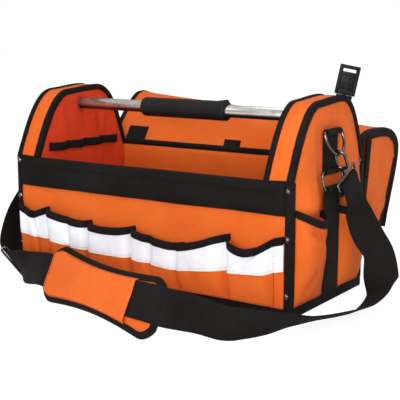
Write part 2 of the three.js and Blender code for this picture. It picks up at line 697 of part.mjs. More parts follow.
function buildPad() {
  const rows = 5;
  const columns = 14;
  const body = [];
  for (let i = 0; i <= columns; i += 1) {
    const u = lerp(-1, 1, i / columns);
    const vs = Array.from({ length: rows + 1 }, (_, k) => lerp(-1, 1, k / rows));
    const upper = vs.map((v) => padPoint(u, v, padThickness(u, v) / 2));
    const lower = vs.map((v) => padPoint(u, v, -padThickness(u, v) / 2));
    body.push([...upper, ...lower.reverse()]);
  }
  addMesh(group, "shoulder_pad", loft(body), "orange");

  const { up } = padFrame();
  const edge = [];
  for (let i = 0; i <= columns; i += 1) {
    edge.push(padPoint(lerp(-1, 1, i / columns), -1, 0));
  }
  for (let i = columns; i >= 0; i -= 1) {
    edge.push(padPoint(lerp(-1, 1, i / columns), 1, 0));
  }
  const frames = edge.map((origin, i) => {
    const before = edge[(i + edge.length - 1) % edge.length];
    const after = edge[(i + 1) % edge.length];
    const ahead = after.clone().sub(origin).normalize();
    const behind = origin.clone().sub(before).normalize();
    const outward = ahead.clone().add(behind).normalize().cross(up).normalize();
    const mitre = Math.max(0.6, ahead.clone().cross(up).normalize().dot(outward));
    return { origin, a: outward.divideScalar(mitre), b: up };
  });
  addMesh(group, "pad_binding", sweep(barSection(0.4, 4.4, -2.6, 2.6), frames, true), "black");

  const sleeve = [];
  const steps = 8;
  for (let i = 0; i <= steps; i += 1) {
    const u = lerp(PAD.sleeveFrom, PAD.sleeveTo, i / steps);
    const stations = [-0.985, -0.93, 0.93, 0.985];
    const over = PAD.thickness / 2 + WEBBING.thickness + 1.7;
    const height = (v) => (Math.abs(v) > 0.95 ? padThickness(u, v) / 2 + 0.5 : over);
    const lower = stations.map((v) => padPoint(u, v, height(v)));
    const upper = stations.map((v) => padPoint(u, v, height(v) + 1.6));
    sleeve.push([...upper, ...lower.reverse()]);
  }
  addMesh(group, "pad_sleeve", loft(sleeve), "orange");
}

// Lid thrown back behind the body, with end flaps

function lidProfile(u) {
  const points = LID_LEFT.map((left, i) => {
    const right = LID_RIGHT[i];
    return vec(0, lerp(left[0], right[0], u), lerp(left[1], right[1], u));
  });
  return new THREE.CatmullRomCurve3(points, false, "centripetal");
}

function lidFrame(u, v) {
  const curve = lidProfile(u);
  const origin = curve.getPoint(v);
  origin.x = lerp(-LID.halfWidth, LID.halfWidth, u);
  return { origin, along: curve.getTangent(v) };
}

function buildLid() {
  const columns = 8;
  const { rows } = LID;
  const at = (u, v, lift) => {
    const { origin, along } = lidFrame(u, v);
    return origin.addScaledVector(vec(0, -along.z, along.y), lift);
  };
  const rings = [];
  for (let i = 0; i <= columns; i += 1) {
    const vs = Array.from({ length: rows + 1 }, (_, k) => k / rows);
    const upper = vs.map((v) => at(i / columns, v, 0));
    const lower = vs.map((v) => at(i / columns, v, -LID.thickness));
    rings.push([...upper, ...lower.reverse()]);
  }
  addMesh(group, "lid_panel", loft(rings), "orange");

  const frames = [];
  const addFrame = (u, v, outward) => {
    const { origin, along } = lidFrame(u, v);
    frames.push({ origin, a: outward(along), b: vec(0, -along.z, along.y) });
  };
  for (let k = 0; k < rows; k += 1) {
    addFrame(0, k / rows, () => vec(-1, 0, 0));
  }
  for (let i = 0; i <= columns; i += 1) {
    const sideways = i === 0 ? -1 : i === columns ? 1 : 0;
    addFrame(i / columns, 1, (along) => along.clone().add(vec(sideways, 0, 0)));
  }
  for (let k = rows - 1; k >= 0; k -= 1) {
    addFrame(1, k / rows, () => vec(1, 0, 0));
  }
  const bead = barSection(0.3, LID.binding, -LID.thickness - 1, 1);
  addMesh(group, "lid_binding", sweep(bead, frames), "black");
  buildFlaps(at);
}

function buildFlaps(lidAt) {
  for (const [side, u, sign] of [["left", 0, -1], ["right", 1, 1]]) {
    const upper = [];
    for (let k = FLAP_TOP.from; k <= FLAP_TOP.to; k += 1) {
      const point = lidAt(u, k / LID.rows, -LID.thickness - 1.45);
      upper.push(new THREE.Vector2(point.y, point.z));
    }
    const lower = FLAP_LOWER.map(([y, z]) => new THREE.Vector2(y, z + (side === "left" ? 22 : 0)));
    const shape = new THREE.Shape([...upper, ...lower].reverse());
    const [x0, x1] = [LID.halfWidth + 1, LID.halfWidth + 3.5];
    const panel = extrudeAlongX(shape, sign > 0 ? x0 : -x1, sign > 0 ? x1 : -x0);
    addMesh(group, `lid_flap_${side}`, panel, "orange");
    const frontTop = lower[lower.length - 1].clone().lerp(upper[0], 0.9);
    const edge = [upper[upper.length - 1], ...lower, frontTop, upper[0]];
    const frames = pathFrames(edge, vec((sign * (x0 + x1)) / 2, 0, 0), AXIS_Y, AXIS_Z);
    addMesh(group, `flap_binding_${side}`, sweep(barSection(0.4, 5.4, -2.6, 2.6), frames.slice(1, -1)), "black");
  }
}

// Buckle on a short webbing tab, on top of the right end

function buildBuckle() {
  const holder = new THREE.Group();
  holder.position.set(234, 71, 283);
  holder.rotation.set(0, 0, 0.59);
  const lean = new THREE.Group();
  lean.rotation.y = 0.2;
  holder.add(lean);
  const body = new THREE.ExtrudeGeometry(roundedRectangle(15, 22, 5), { depth: 8, bevelEnabled: false, curveSegments: 3 });
  body.rotateX(Math.PI / 2).translate(0, 4, 36);
  const slot = (x0, x1, z0, z1) => box(x0, x1, -6, 6, z0, z1);
  const plate = cut(body, slot(-9.5, 9.5, 48, 52.5), slot(-13, -10, 25, 38), slot(10, 13, 25, 38));
  addMesh(lean, "buckle", plate, "plastic");
  addMesh(lean, "buckle_tab", box(-12, 12, -1.1, 1.1, 2, 13.7), "black");
  group.add(holder);
}

buildBody();
buildFront();
const hangPoints = buildEnds();
buildLoopBand();
buildHandle();
buildStrap(hangPoints);
buildPad();
buildLid();
buildBuckle();

export default group;
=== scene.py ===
"""Looks of an open-top cloth tool tote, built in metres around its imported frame.

X runs along the handle, Y from front to back and Z up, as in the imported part. Each sub-assembly is a class
that builds its own pieces, lays them on the frame's bodies and gives them a finish.
"""

import logging
import math
from collections.abc import Callable, Iterable, Sequence
from dataclasses import dataclass, field
from enum import Enum

import bmesh
import bpy
from mathutils import Matrix, Quaternion, Vector, geometry, noise


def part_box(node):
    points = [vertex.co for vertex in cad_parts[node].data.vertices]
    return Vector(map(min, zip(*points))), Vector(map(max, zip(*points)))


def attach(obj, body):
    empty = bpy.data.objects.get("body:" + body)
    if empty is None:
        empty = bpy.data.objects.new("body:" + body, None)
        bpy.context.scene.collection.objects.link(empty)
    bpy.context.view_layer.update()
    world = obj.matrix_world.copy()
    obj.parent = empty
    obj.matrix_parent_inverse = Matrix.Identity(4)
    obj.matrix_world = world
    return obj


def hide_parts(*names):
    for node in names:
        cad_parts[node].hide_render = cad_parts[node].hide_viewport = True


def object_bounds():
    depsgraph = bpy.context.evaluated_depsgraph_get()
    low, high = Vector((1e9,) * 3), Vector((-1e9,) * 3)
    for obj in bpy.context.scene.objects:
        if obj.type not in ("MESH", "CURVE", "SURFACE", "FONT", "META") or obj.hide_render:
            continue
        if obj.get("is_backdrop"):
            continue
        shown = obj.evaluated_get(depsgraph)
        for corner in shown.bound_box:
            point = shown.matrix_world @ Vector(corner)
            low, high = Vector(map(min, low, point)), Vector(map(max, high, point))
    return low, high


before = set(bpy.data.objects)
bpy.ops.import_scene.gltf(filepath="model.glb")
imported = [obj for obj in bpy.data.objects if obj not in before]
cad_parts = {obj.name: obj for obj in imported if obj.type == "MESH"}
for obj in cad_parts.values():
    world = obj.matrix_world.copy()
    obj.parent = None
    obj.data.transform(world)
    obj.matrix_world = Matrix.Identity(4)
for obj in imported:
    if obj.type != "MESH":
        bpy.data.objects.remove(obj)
CAD_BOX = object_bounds()

log = logging.getLogger("tool_bag")

Pair = tuple[float, float]
Triple = tuple[float, float, float]
Colour = tuple[float, float, float, float]
Place = Callable[[float, float], Vector]
Frame = tuple[Vector, Vector, Vector]
Line = Sequence[Vector]
Section = Sequence[Pair]
Mesh = bmesh.types.BMesh
Node = bpy.types.Node
Socket = bpy.types.NodeSocket
Tree = bpy.types.NodeTree
Inputs = dict[str | int, object]

X_AXIS = Vector((1, 0, 0))
Y_AXIS = Vector((0, 1, 0))
Z_AXIS = Vector((0, 0, 1))

# Driving sizes, read from the frame where a node gives them
HALF_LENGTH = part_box("front_wall")[1].x
HALF_DEPTH = -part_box("front_wall")[0].y
WALL_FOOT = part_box("front_wall")[0].z
WALL_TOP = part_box("front_wall")[1].z
RIM_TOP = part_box("base")[1].z
RING_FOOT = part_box("end_pocket_right")[0].z
INNER_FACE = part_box("end_inner_right")[0].x
HANDLE_HEIGHT = (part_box("handle_tube")[0].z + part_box("handle_tube")[1].z) / 2
WALL = 0.0025
SEAM = 0.0003
POCKET_CLOTH = 0.002
BAG_BODY = "bag"


class Side(Enum):
    """The two ends of the bag, with the sign of X there."""

    LEFT = -1
    RIGHT = 1

    @property
    def label(self) -> str:
        """The end's name in node names."""
        return self.name.lower()


class Slot(Enum):
    """The record's material slots."""

    CLOTH = "orange_cloth"
    LINING = "orange_lining"
    WEBBING = "black_webbing"
    TAPE = "reflective_tape"
    TUBE = "tube_steel"
    METAL = "plated_metal"
    GRIP = "grip_foam"
    PLASTIC = "buckle_plastic"


def lerp(low: float, high: float, t: float) -> float:
    """The value a share t of the way from low to high."""
    return low + (high - low) * t


def ease(low: float, high: float, value: float) -> float:
    """A smooth step from 0 at low to 1 at high."""
    t = min(max((value - low) / (high - low), 0.0), 1.0)
    return t * t * (3 - 2 * t)


def bell(distance: float, width: float) -> float:
    """A soft hump of height 1 round distance 0."""
    return math.exp(-((distance / width) ** 2))


@dataclass(frozen=True)
class Wave:
    """Unevenness of cloth: its height, the length of its waves and the seed of its noise."""

    height: float
    length: float
    seed: float = 0.0

    def at(self, a: float, b: float = 0.0, shift: float = 0.0) -> float:
        """Height at a place, with the seed shifted where pieces of one kind differ."""
        return self.height * noise.noise(Vector((a / self.length, b / self.length, self.seed + shift)))


@dataclass(frozen=True)
class Crease:
    """A fold in a panel, between two places given in the panel's own two directions."""

    start: Pair
    end: Pair
    depth: float
    width: float

    def at(self, a: float, b: float) -> float:
        """Height of the fold at a place, fading towards both of its ends."""
        run = Vector(self.end) - Vector(self.start)
        offset = Vector((a, b)) - Vector(self.start)
        t = min(max(offset.dot(run) / run.length_squared, 0.0), 1.0)
        away = (offset - run * t).length
        return self.depth * bell(away, self.width) * math.sin(math.pi * lerp(0.1, 0.9, t))


def folds(creases: Iterable[Crease], a: float, b: float) -> float:
    """The heights of several creases added up at one place."""
    return sum(crease.at(a, b) for crease in creases)


@dataclass(frozen=True)
class Curve:
    """A centripetal spline through a few places, read by a share of its spans."""

    points: tuple[Vector, ...]

    def at(self, t: float) -> Vector:
        """The place at t, from 0 at the first point to 1 at the last."""
        last = len(self.points) - 1
        span = min(max(t, 0.0), 1.0) * last
        k = min(int(span), last - 1)
        w = span - k
        p1, p2 = self.points[k], self.points[k + 1]
        p0 = self.points[k - 1] if k > 0 else p1 * 2 - p2
        p3 = self.points[k + 2] if k + 2 <= last else p2 * 2 - p1
        d0, d1, d2 = (max((b - a).length, 1e-6) ** 0.5 for a, b in ((p0, p1), (p1, p2), (p2, p3)))
        leave = ((p1 - p0) / d0 - (p2 - p0) / (d0 + d1) + (p2 - p1) / d1) * d1
        reach = ((p2 - p1) / d1 - (p3 - p1) / (d1 + d2) + (p3 - p2) / d2) * d1
        square = (p2 - p1) * 3 - leave * 2 - reach
        cube = (p1 - p2) * 2 + leave + reach
        return p1 + leave * w + square * w**2 + cube * w**3

    def tangent(self, t: float) -> Vector:
        """The direction of the curve at t."""
        step = 1e-4
        return (self.at(t + step) - self.at(t - step)).normalized()


def spaced(points: Line, count: int) -> list[Vector]:
    """Points at equal steps along a line of many points.

    Args:
        points: the line, first to last.
        count: how many steps to cut it into.

    Returns:
        count + 1 points, both ends included.
    """
    reach = [0.0]
    for before, after in zip(points, points[1:]):
        reach.append(reach[-1] + (after - before).length)
    found = []
    k = 0
    for i in range(count + 1):
        goal = reach[-1] * i / count
        while k < len(points) - 2 and reach[k + 1] < goal:
            k += 1
        share = (goal - reach[k]) / max(reach[k + 1] - reach[k], 1e-9)
        found.append(points[k].lerp(points[k + 1], share))
    return found


def arc(centre: Pair, radius: float, start: float, end: float, steps: int = 12) -> list[Vector]:
    """Points of an arc in a plane, from one angle to another."""
    angles = (lerp(start, end, k / steps) for k in range(steps + 1))
    return [Vector((centre[0] + radius * math.cos(t), centre[1] + radius * math.sin(t))) for t in angles]


def ring_points(line: Line, count: int) -> list[Vector]:
    """Points at equal steps round a closed line."""
    return spaced([*line, line[0]], count)[:-1]


def aimed(place: Vector, direction: Vector) -> Matrix:
    """A move to a place that turns Z to a direction."""
    return Matrix.Translation(place) @ direction.to_track_quat("Z", "Y").to_matrix().to_4x4()


def planar_frames(points: Line, origin: Vector, across: Vector, up: Vector, closed: bool) -> list[Frame]:
    """Frames along a line drawn in a plane.

    Args:
        points: the line, in the plane's two directions.
        origin: the plane's own origin.
        across: the plane's first direction.
        up: the plane's second direction.
        closed: whether the line runs back to its start.

    Returns:
        An origin, a direction to the line's left and the plane's normal for each point.
    """
    normal = across.cross(up)
    last = len(points) - 1
    frames = []
    for i, point in enumerate(points):
        before = points[i - 1] if closed or i > 0 else point
        after = points[(i + 1) % len(points)] if closed or i < last else point
        run = (after - before).normalized()
        side = across * -run.y + up * run.x
        frames.append((origin + across * point.x + up * point.y, side, normal))
    return frames


def circle_section(radius: float, sides: int = 14) -> list[Pair]:
    """A round section for wire."""
    return [tuple(point) for point in arc((0, 0), radius, 0, math.tau, sides)[:sides]]


def flat_section(width: float, thickness: float, cells: int = 8) -> list[Pair]:
    """A flat section with soft edges for webbing: thickness is the first direction, width the second."""
    half = width / 2 - thickness / 2
    row = [lerp(-half, half, k / cells) for k in range(cells + 1)]
    upper = [(thickness / 2, w) for w in row]
    lower = [(-thickness / 2, w) for w in reversed(row)]
    return [*upper, (0.0, width / 2), *lower, (0.0, -width / 2)]


def grid(columns: int, rows: int, place: Place, flat: Pair) -> Mesh:
    """A bmesh grid laid out by a function of its two shares.

    Args:
        columns: faces along the first direction.
        rows: faces along the second direction.
        place: gives the place for two shares from 0 to 1.
        flat: the sheet's size in metres, which scales its UV map.

    Returns:
        The new bmesh.
    """
    bm = bmesh.new()
    layer = bm.loops.layers.uv.new("UVMap")
    bmesh.ops.create_grid(bm, x_segments=columns, y_segments=rows, size=0.5)
    for face in bm.faces:
        for loop in face.loops:
            corner = loop.vert.co
            loop[layer].uv = ((corner.x + 0.5) * flat[0], (corner.y + 0.5) * flat[1])
    for vert in bm.verts:
        vert.co = place(vert.co.x + 0.5, vert.co.y + 0.5)
    return bm


def sheet(columns: int, rows: int, place: Place, flat: Pair, facing: Vector) -> Mesh:
    """A grid of cloth whose outer face looks the given way."""
    bm = grid(columns, rows, place, flat)
    bm.normal_update()
    if sum((face.normal * face.calc_area()).dot(facing) for face in bm.faces) < 0:
        bmesh.ops.reverse_faces(bm, faces=bm.faces[:])
    return bm


def loft(rings: Sequence[Line], closed: bool = False) -> Mesh:
    """A closed body through rings of equal length.

    Args:
        rings: the places of each ring, in order.
        closed: whether the last ring runs on to the first.

    Returns:
        The welded bmesh, with both ends filled unless it is closed.
    """
    columns = len(rings[0])
    rows = len(rings) if closed else len(rings) - 1
    girth = sum((rings[0][k] - rings[0][k - 1]).length for k in range(columns))
    length = sum((b[0] - a[0]).length for a, b in zip(rings, rings[1:]))

    def place(u: float, v: float) -> Vector:
        """The ring's place for two shares of the grid."""
        return rings[round(v * rows) % len(rings)][round(u * columns) % columns]

    bm = grid(columns, rows, place, (girth, length))
    bmesh.ops.remove_doubles(bm, verts=bm.verts[:], dist=1e-7)
    if not closed:
        bmesh.ops.holes_fill(bm, edges=[edge for edge in bm.edges if edge.is_boundary], sides=0)
    bmesh.ops.recalc_face_normals(bm, faces=bm.faces[:])
    return bm


def sweep(frames: Sequence[Frame], section: Section, closed: bool = False) -> Mesh:
    """A closed body with one section carried along frames."""
    return loft([[origin + a * p + b * q for p, q in section] for origin, a, b in frames], closed)


def lathe(profile: Section, steps: int = 24) -> Mesh:
    """A closed body turned about Z from points of radius and height, first and last on the axis."""
    bm = bmesh.new()
    verts = [bm.verts.new((radius, 0, height)) for radius, height in profile]
    edges = [bm.edges.new(pair) for pair in zip(verts, verts[1:])]
    bmesh.ops.spin(
        bm, geom=[*verts, *edges], cent=(0, 0, 0), axis=(0, 0, 1), angle=math.tau, steps=steps,
        use_merge=True,
    )
    bmesh.ops.remove_doubles(bm, verts=bm.verts[:], dist=1e-7)
    bmesh.ops.recalc_face_normals(bm, faces=bm.faces[:])
    return bm


def block(size: Triple, place: Matrix, round_off: float) -> Mesh:
    """A box of the given size with rounded edges, moved by a matrix."""
    bm = bmesh.new()
    bmesh.ops.create_cube(bm, size=1)
    bmesh.ops.scale(bm, vec=size, verts=bm.verts[:])
    bmesh.ops.bevel(
        bm, geom=bm.edges[:], offset=round_off, segments=3, profile=0.5, affect="EDGES", material=-1,
    )
    bmesh.ops.transform(bm, matrix=place, verts=bm.verts[:])
    return bm


def moved(bm: Mesh, place: Matrix) -> Mesh:
    """The same bmesh after a move."""
    bmesh.ops.transform(bm, matrix=place, verts=bm.verts[:])
    return bm


def fused(parts: Iterable[Mesh]) -> Mesh:
    """Several bodies in one bmesh."""
    whole = bmesh.new()
    whole.loops.layers.uv.new("UVMap")
    for part in parts:
        carrier = bpy.data.meshes.new("carrier")
        part.to_mesh(carrier)
        part.free()
        whole.from_mesh(carrier)
        bpy.data.meshes.remove(carrier)
    return whole


class Nodes:
    """A short way to place and link nodes in one tree."""

    def __init__(self, tree: Tree) -> None:
        """Keeps the tree that the nodes go in."""
        self.tree = tree

    def feed(self, socket: Socket, value: object) -> None:
        """Links a socket to another, or sets its value."""
        if isinstance(value, Socket):
            self.tree.links.new(value, socket)
        elif value is not None:
            socket.default_value = value

    def add(self, kind: str, inputs: Inputs | None = None, **settings: object) -> Node:
        """Places one node.

        Args:
            kind: the node's type name.
            inputs: values or sockets by input name or number.
            settings: the node's own properties.

        Returns:
            The new node.
        """
        node = self.tree.nodes.new(kind)
        for name, value in settings.items():
            setattr(node, name, value)
        for key, value in (inputs or {}).items():
            self.feed(node.inputs[key], value)
        return node

    def math(self, operation: str, *values: object) -> Socket:
        """The result of one Math node."""
        return self.add("ShaderNodeMath", dict(enumerate(values)), operation=operation).outputs[0]

    def vector(self, operation: str, *values: object) -> Socket:
        """The result of one Vector Math node."""
        return self.add("ShaderNodeVectorMath", dict(enumerate(values)), operation=operation).outputs[0]

    def parts(self, place: object) -> Sequence[Socket]:
        """The three parts of a place."""
        return self.add("ShaderNodeSeparateXYZ", {0: place}).outputs

    def noise(self, place: object, scale: object, detail: float, **inputs: object) -> Socket:
        """The value of one Noise Texture node."""
        values = {"Vector": place, "Scale": scale, "Detail": detail, **inputs}
        return self.add("ShaderNodeTexNoise", values).outputs[0]

    def spread(self, value: object, low: float, high: float, to_low: float, to_high: float) -> Socket:
        """A value mapped from one range to another, held at both ends."""
        inputs = {0: value, 1: low, 2: high, 3: to_low, 4: to_high}
        return self.add("ShaderNodeMapRange", inputs).outputs[0]

    def blend(self, share: object, first: object, second: object) -> Socket:
        """A mix of two colours."""
        inputs = {0: share, 6: first, 7: second}
        return self.add("ShaderNodeMix", inputs, data_type="RGBA").outputs[2]


def new_group(name: str, inputs: dict[str, str], outputs: Sequence[str]) -> tuple[Nodes, dict, Node]:
    """An empty shader node group with named sockets.

    Args:
        name: the group's name.
        inputs: socket type by input name.
        outputs: names of the float outputs.

    Returns:
        The group's nodes, its input sockets by name, and its output node.
    """
    tree = bpy.data.node_groups.new(name, "ShaderNodeTree")
    for socket, kind in inputs.items():
        tree.interface.new_socket(socket, in_out="INPUT", socket_type=kind)
    for socket in outputs:
        tree.interface.new_socket(socket, in_out="OUTPUT", socket_type="NodeSocketFloat")
    nodes = Nodes(tree)
    given = {socket.name: socket for socket in nodes.add("NodeGroupInput").outputs if socket.name}
    return nodes, given, nodes.add("NodeGroupOutput")


class Effects:
    """Shader node groups that several finishes share."""

    def __init__(self) -> None:
        """Builds each group once."""
        self.weave = self.make_weave()
        self.blotch = self.make_blotch()
        self.stitch_row = self.make_stitch_row()

    @staticmethod
    def make_weave() -> Tree:
        """Plain weave: threads that pass over and under each other, with uneven yarn."""
        kinds = {"Place": "NodeSocketVector", "Threads": "NodeSocketVector"}
        nodes, given, out = new_group("plain_weave", kinds, ("Height", "Yarn"))
        cells = nodes.vector("MULTIPLY", given["Place"], given["Threads"])
        parts = nodes.parts(cells)
        waves = [nodes.math("ABSOLUTE", nodes.math("SINE", nodes.math("MULTIPLY", parts[k], math.pi)))
                 for k in (0, 1)]
        off_edge = nodes.vector("ADD", cells, (0.001, 0.001, 0.5))
        over = nodes.add("ShaderNodeTexChecker", {"Vector": off_edge, "Scale": 1.0}).outputs["Fac"]
        warp = nodes.math("MULTIPLY", waves[0], over)
        weft = nodes.math("MULTIPLY", waves[1], nodes.math("SUBTRACT", 1.0, over))
        nodes.feed(out.inputs["Height"], nodes.math("ADD", warp, weft))
        yarn = nodes.noise(given["Place"], 420.0, 3.0)
        nodes.feed(out.inputs["Yarn"], nodes.spread(yarn, 0.3, 0.7, 0.0, 1.0))
        return nodes.tree

    @staticmethod
    def make_blotch() -> Tree:
        """Broad soft patches, as of handling and uneven dye."""
        kinds = {"Place": "NodeSocketVector", "Scale": "NodeSocketFloat"}
        nodes, given, out = new_group("soft_blotches", kinds, ("Mask",))
        cloud = nodes.noise(given["Place"], given["Scale"], 4.0, Roughness=0.6)
        nodes.feed(out.inputs["Mask"], nodes.spread(cloud, 0.32, 0.68, 0.0, 1.0))
        return nodes.tree

    @staticmethod
    def make_stitch_row() -> Tree:
        """A row of stitches along the first UV direction, at one place of the second."""
        kinds = dict.fromkeys(("Along", "Across", "Line", "Half Width", "Pitch"), "NodeSocketFloat")
        nodes, given, out = new_group("stitch_row", kinds, ("Mask",))
        away = nodes.math("ABSOLUTE", nodes.math("SUBTRACT", given["Across"], given["Line"]))
        near = nodes.math("LESS_THAN", away, given["Half Width"])
        beat = nodes.math("FRACT", nodes.math("DIVIDE", given["Along"], given["Pitch"]))
        nodes.feed(out.inputs["Mask"], nodes.math("MULTIPLY", near, nodes.math("LESS_THAN", beat, 0.72)))
        return nodes.tree


class Finish:
    """A new material with its shader, and the coordinates that patterns read."""

    def __init__(self, name: str) -> None:
        """Makes the material and keeps its shader."""
        self.material = bpy.data.materials.new(name)
        self.material.use_nodes = True
        self.nodes = Nodes(self.material.node_tree)
        self.shader = self.material.node_tree.nodes["Principled BSDF"]
        coordinates = self.nodes.add("ShaderNodeTexCoord")
        self.object = coordinates.outputs["Object"]
        self.uv = coordinates.outputs["UV"]

    def set(self, **values: object) -> None:
        """Sets or links the shader's inputs, with underscores for spaces."""
        for name, value in values.items():
            self.nodes.feed(self.shader.inputs[name.replace("_", " ")], value)

    def group(self, tree: Tree, inputs: dict[str, object]) -> Node:
        """Places a shared effect."""
        node = self.nodes.add("ShaderNodeGroup", node_tree=tree)
        for name, value in inputs.items():
            self.nodes.feed(node.inputs[name], value)
        return node

    def blotches(self, effects: Effects, scale: float) -> Socket:
        """The mask of broad soft patches at a scale."""
        return self.group(effects.blotch, {"Place": self.object, "Scale": scale}).outputs["Mask"]

    def relief(self, height: object, distance: float, strength: float) -> Socket:
        """A bump normal from a height."""
        inputs = {"Height": height, "Distance": distance, "Strength": strength}
        return self.nodes.add("ShaderNodeBump", inputs).outputs[0]


@dataclass(frozen=True)
class WovenFinish:
    """Woven cloth or webbing, with the hollows of its weave painted darker as painted shade."""

    slot: Slot
    colour: Colour
    shade: Colour
    threads: Pair
    relief: float
    roughness: Pair
    sheen: float
    mottle: float = 0.5
    blotch_scale: float = 14.0
    specular: float = 0.16
    sheen_roughness: float = 0.5

    def make(self, effects: Effects) -> bpy.types.Material:
        """Builds the material."""
        finish = Finish(self.slot.value)
        nodes = finish.nodes
        weave = finish.group(effects.weave, {"Place": finish.uv, "Threads": (*self.threads, 0.0)})
        blotch = finish.blotches(effects, self.blotch_scale)
        worn = nodes.math("MULTIPLY", blotch, self.mottle)
        thread = nodes.math("MULTIPLY", weave.outputs["Yarn"], 1 - self.mottle)
        # Painted shade: the hollows between raised threads are mixed towards the shade colour. The blotches
        # and the yarn noise are random tone.
        raised = nodes.spread(weave.outputs["Height"], 0.0, 0.6, 0.55, 1.0)
        tone = nodes.math("ADD", worn, nodes.math("MULTIPLY", thread, raised))
        finish.set(
            Base_Color=nodes.blend(tone, self.shade, self.colour),
            Roughness=nodes.spread(blotch, 0.0, 1.0, *self.roughness),
            Normal=finish.relief(weave.outputs["Height"], self.relief, 0.5),
            Specular_IOR_Level=self.specular,
            Sheen_Weight=self.sheen,
            Sheen_Roughness=self.sheen_roughness,
        )
        return finish.material


@dataclass(frozen=True)
class TapeFinish:
    """Retroreflective tape: a satin film of fine beads with a stitched lower edge, and a faint painted glow
    in its own colour.
    """

    slot: Slot = Slot.TAPE
    colour: Colour = (0.86, 0.87, 0.91, 1)
    shade: Colour = (0.72, 0.73, 0.80, 1)
    # Strength of the painted glow.
    painted_glow: float = 0.05
    thread: Colour = (0.3, 0.29, 0.34, 1)
    edge: Colour = (0.95, 0.83, 0.66, 1)
    edge_width: float = 0.0016
    stitch_line: float = 0.0042
    stitch_half: float = 0.00035
    stitch_pitch: float = 0.003
    stitch_cover: float = 0.75
    bead_scale: float = 2600.0
    blotch_scale: float = 30.0

    def make(self, effects: Effects) -> bpy.types.Material:
        """Builds the material."""
        finish = Finish(self.slot.value)
        nodes = finish.nodes
        place = nodes.parts(finish.uv)
        blotch = finish.blotches(effects, self.blotch_scale)
        cells = {"Vector": finish.uv, "Scale": self.bead_scale}
        beads = nodes.add("ShaderNodeTexVoronoi", cells).outputs["Distance"]
        row = finish.group(effects.stitch_row, {
            "Along": place[0], "Across": place[1], "Line": self.stitch_line,
            "Half Width": self.stitch_half, "Pitch": self.stitch_pitch,
        }).outputs["Mask"]
        film = nodes.blend(blotch, self.shade, self.colour)
        sewn = nodes.blend(nodes.math("MULTIPLY", row, self.stitch_cover), film, self.thread)
        hem = nodes.math("LESS_THAN", place[1], self.edge_width)
        height = nodes.math("SUBTRACT", nodes.math("MULTIPLY", beads, 0.3), row)
        finish.set(
            Base_Color=nodes.blend(hem, sewn, self.edge),
            Roughness=nodes.spread(blotch, 0.0, 1.0, 0.5, 0.36),
            Normal=finish.relief(height, 0.0003, 0.5),
            # Painted glow: the film gives off a little light in its own colour, standing for the light the
            # tape sends back.
            Emission_Color=self.colour,
            Emission_Strength=self.painted_glow,
        )
        return finish.material


@dataclass(frozen=True)
class MetalFinish:
    """Polished or plated metal with fine drawing marks, and, if given, a painted shade below the handle's
    middle that stands for the tube's dark lower reflection.
    """

    slot: Slot
    colour: Colour
    roughness: Pair
    marks: Triple
    painted_shade: Colour | None = None
    metallic: float = 1.0
    # Heights below the handle's middle where the painted shade starts and where it is full.
    painted_shade_start: float = 0.0005
    painted_shade_end: float = 0.005
    dullness: float = 0.8
    blotch_scale: float = 60.0

    def make(self, effects: Effects) -> bpy.types.Material:
        """Builds the material."""
        finish = Finish(self.slot.value)
        nodes = finish.nodes
        drawn = nodes.add("ShaderNodeMapping", {"Vector": finish.object, "Scale": self.marks})
        lines = nodes.noise(drawn.outputs[0], 1.0, 4.0)
        blotch = finish.blotches(effects, self.blotch_scale)
        mix = nodes.math("MULTIPLY", nodes.math("ADD", lines, blotch), 0.5)
        dull = (*(value * self.dullness for value in self.colour[:3]), 1.0)
        face = nodes.blend(blotch, dull, self.colour)
        # Painted shade: below the handle's middle height the colour runs to a dark one, standing for the
        # tube's dark lower reflection.
        if self.painted_shade:
            height = nodes.parts(finish.object)[2]
            start, end = HANDLE_HEIGHT - self.painted_shade_start, HANDLE_HEIGHT - self.painted_shade_end
            below = nodes.spread(height, start, end, 0.0, 1.0)
            face = nodes.blend(below, face, self.painted_shade)
        finish.set(
            Base_Color=face,
            Roughness=nodes.spread(mix, 0.2, 0.8, *self.roughness),
            Normal=finish.relief(lines, 0.00003, 0.08),
            Metallic=self.metallic,
        )
        return finish.material


@dataclass(frozen=True)
class MouldedFinish:
    """Moulded plastic or foam with a fine grain."""

    slot: Slot
    colour: Colour
    worn: Colour
    grain: float
    relief: float
    roughness: Pair
    blotch_scale: float = 45.0
    specular: float = 0.2

    def make(self, effects: Effects) -> bpy.types.Material:
        """Builds the material."""
        finish = Finish(self.slot.value)
        nodes = finish.nodes
        blotch = finish.blotches(effects, self.blotch_scale)
        pores = nodes.noise(finish.object, self.grain, 3.0)
        finish.set(
            Base_Color=nodes.blend(nodes.math("MULTIPLY", blotch, pores), self.colour, self.worn),
            Roughness=nodes.spread(blotch, 0.0, 1.0, *self.roughness),
            Normal=finish.relief(pores, self.relief, 0.6),
            Specular_IOR_Level=self.specular,
        )
        return finish.material


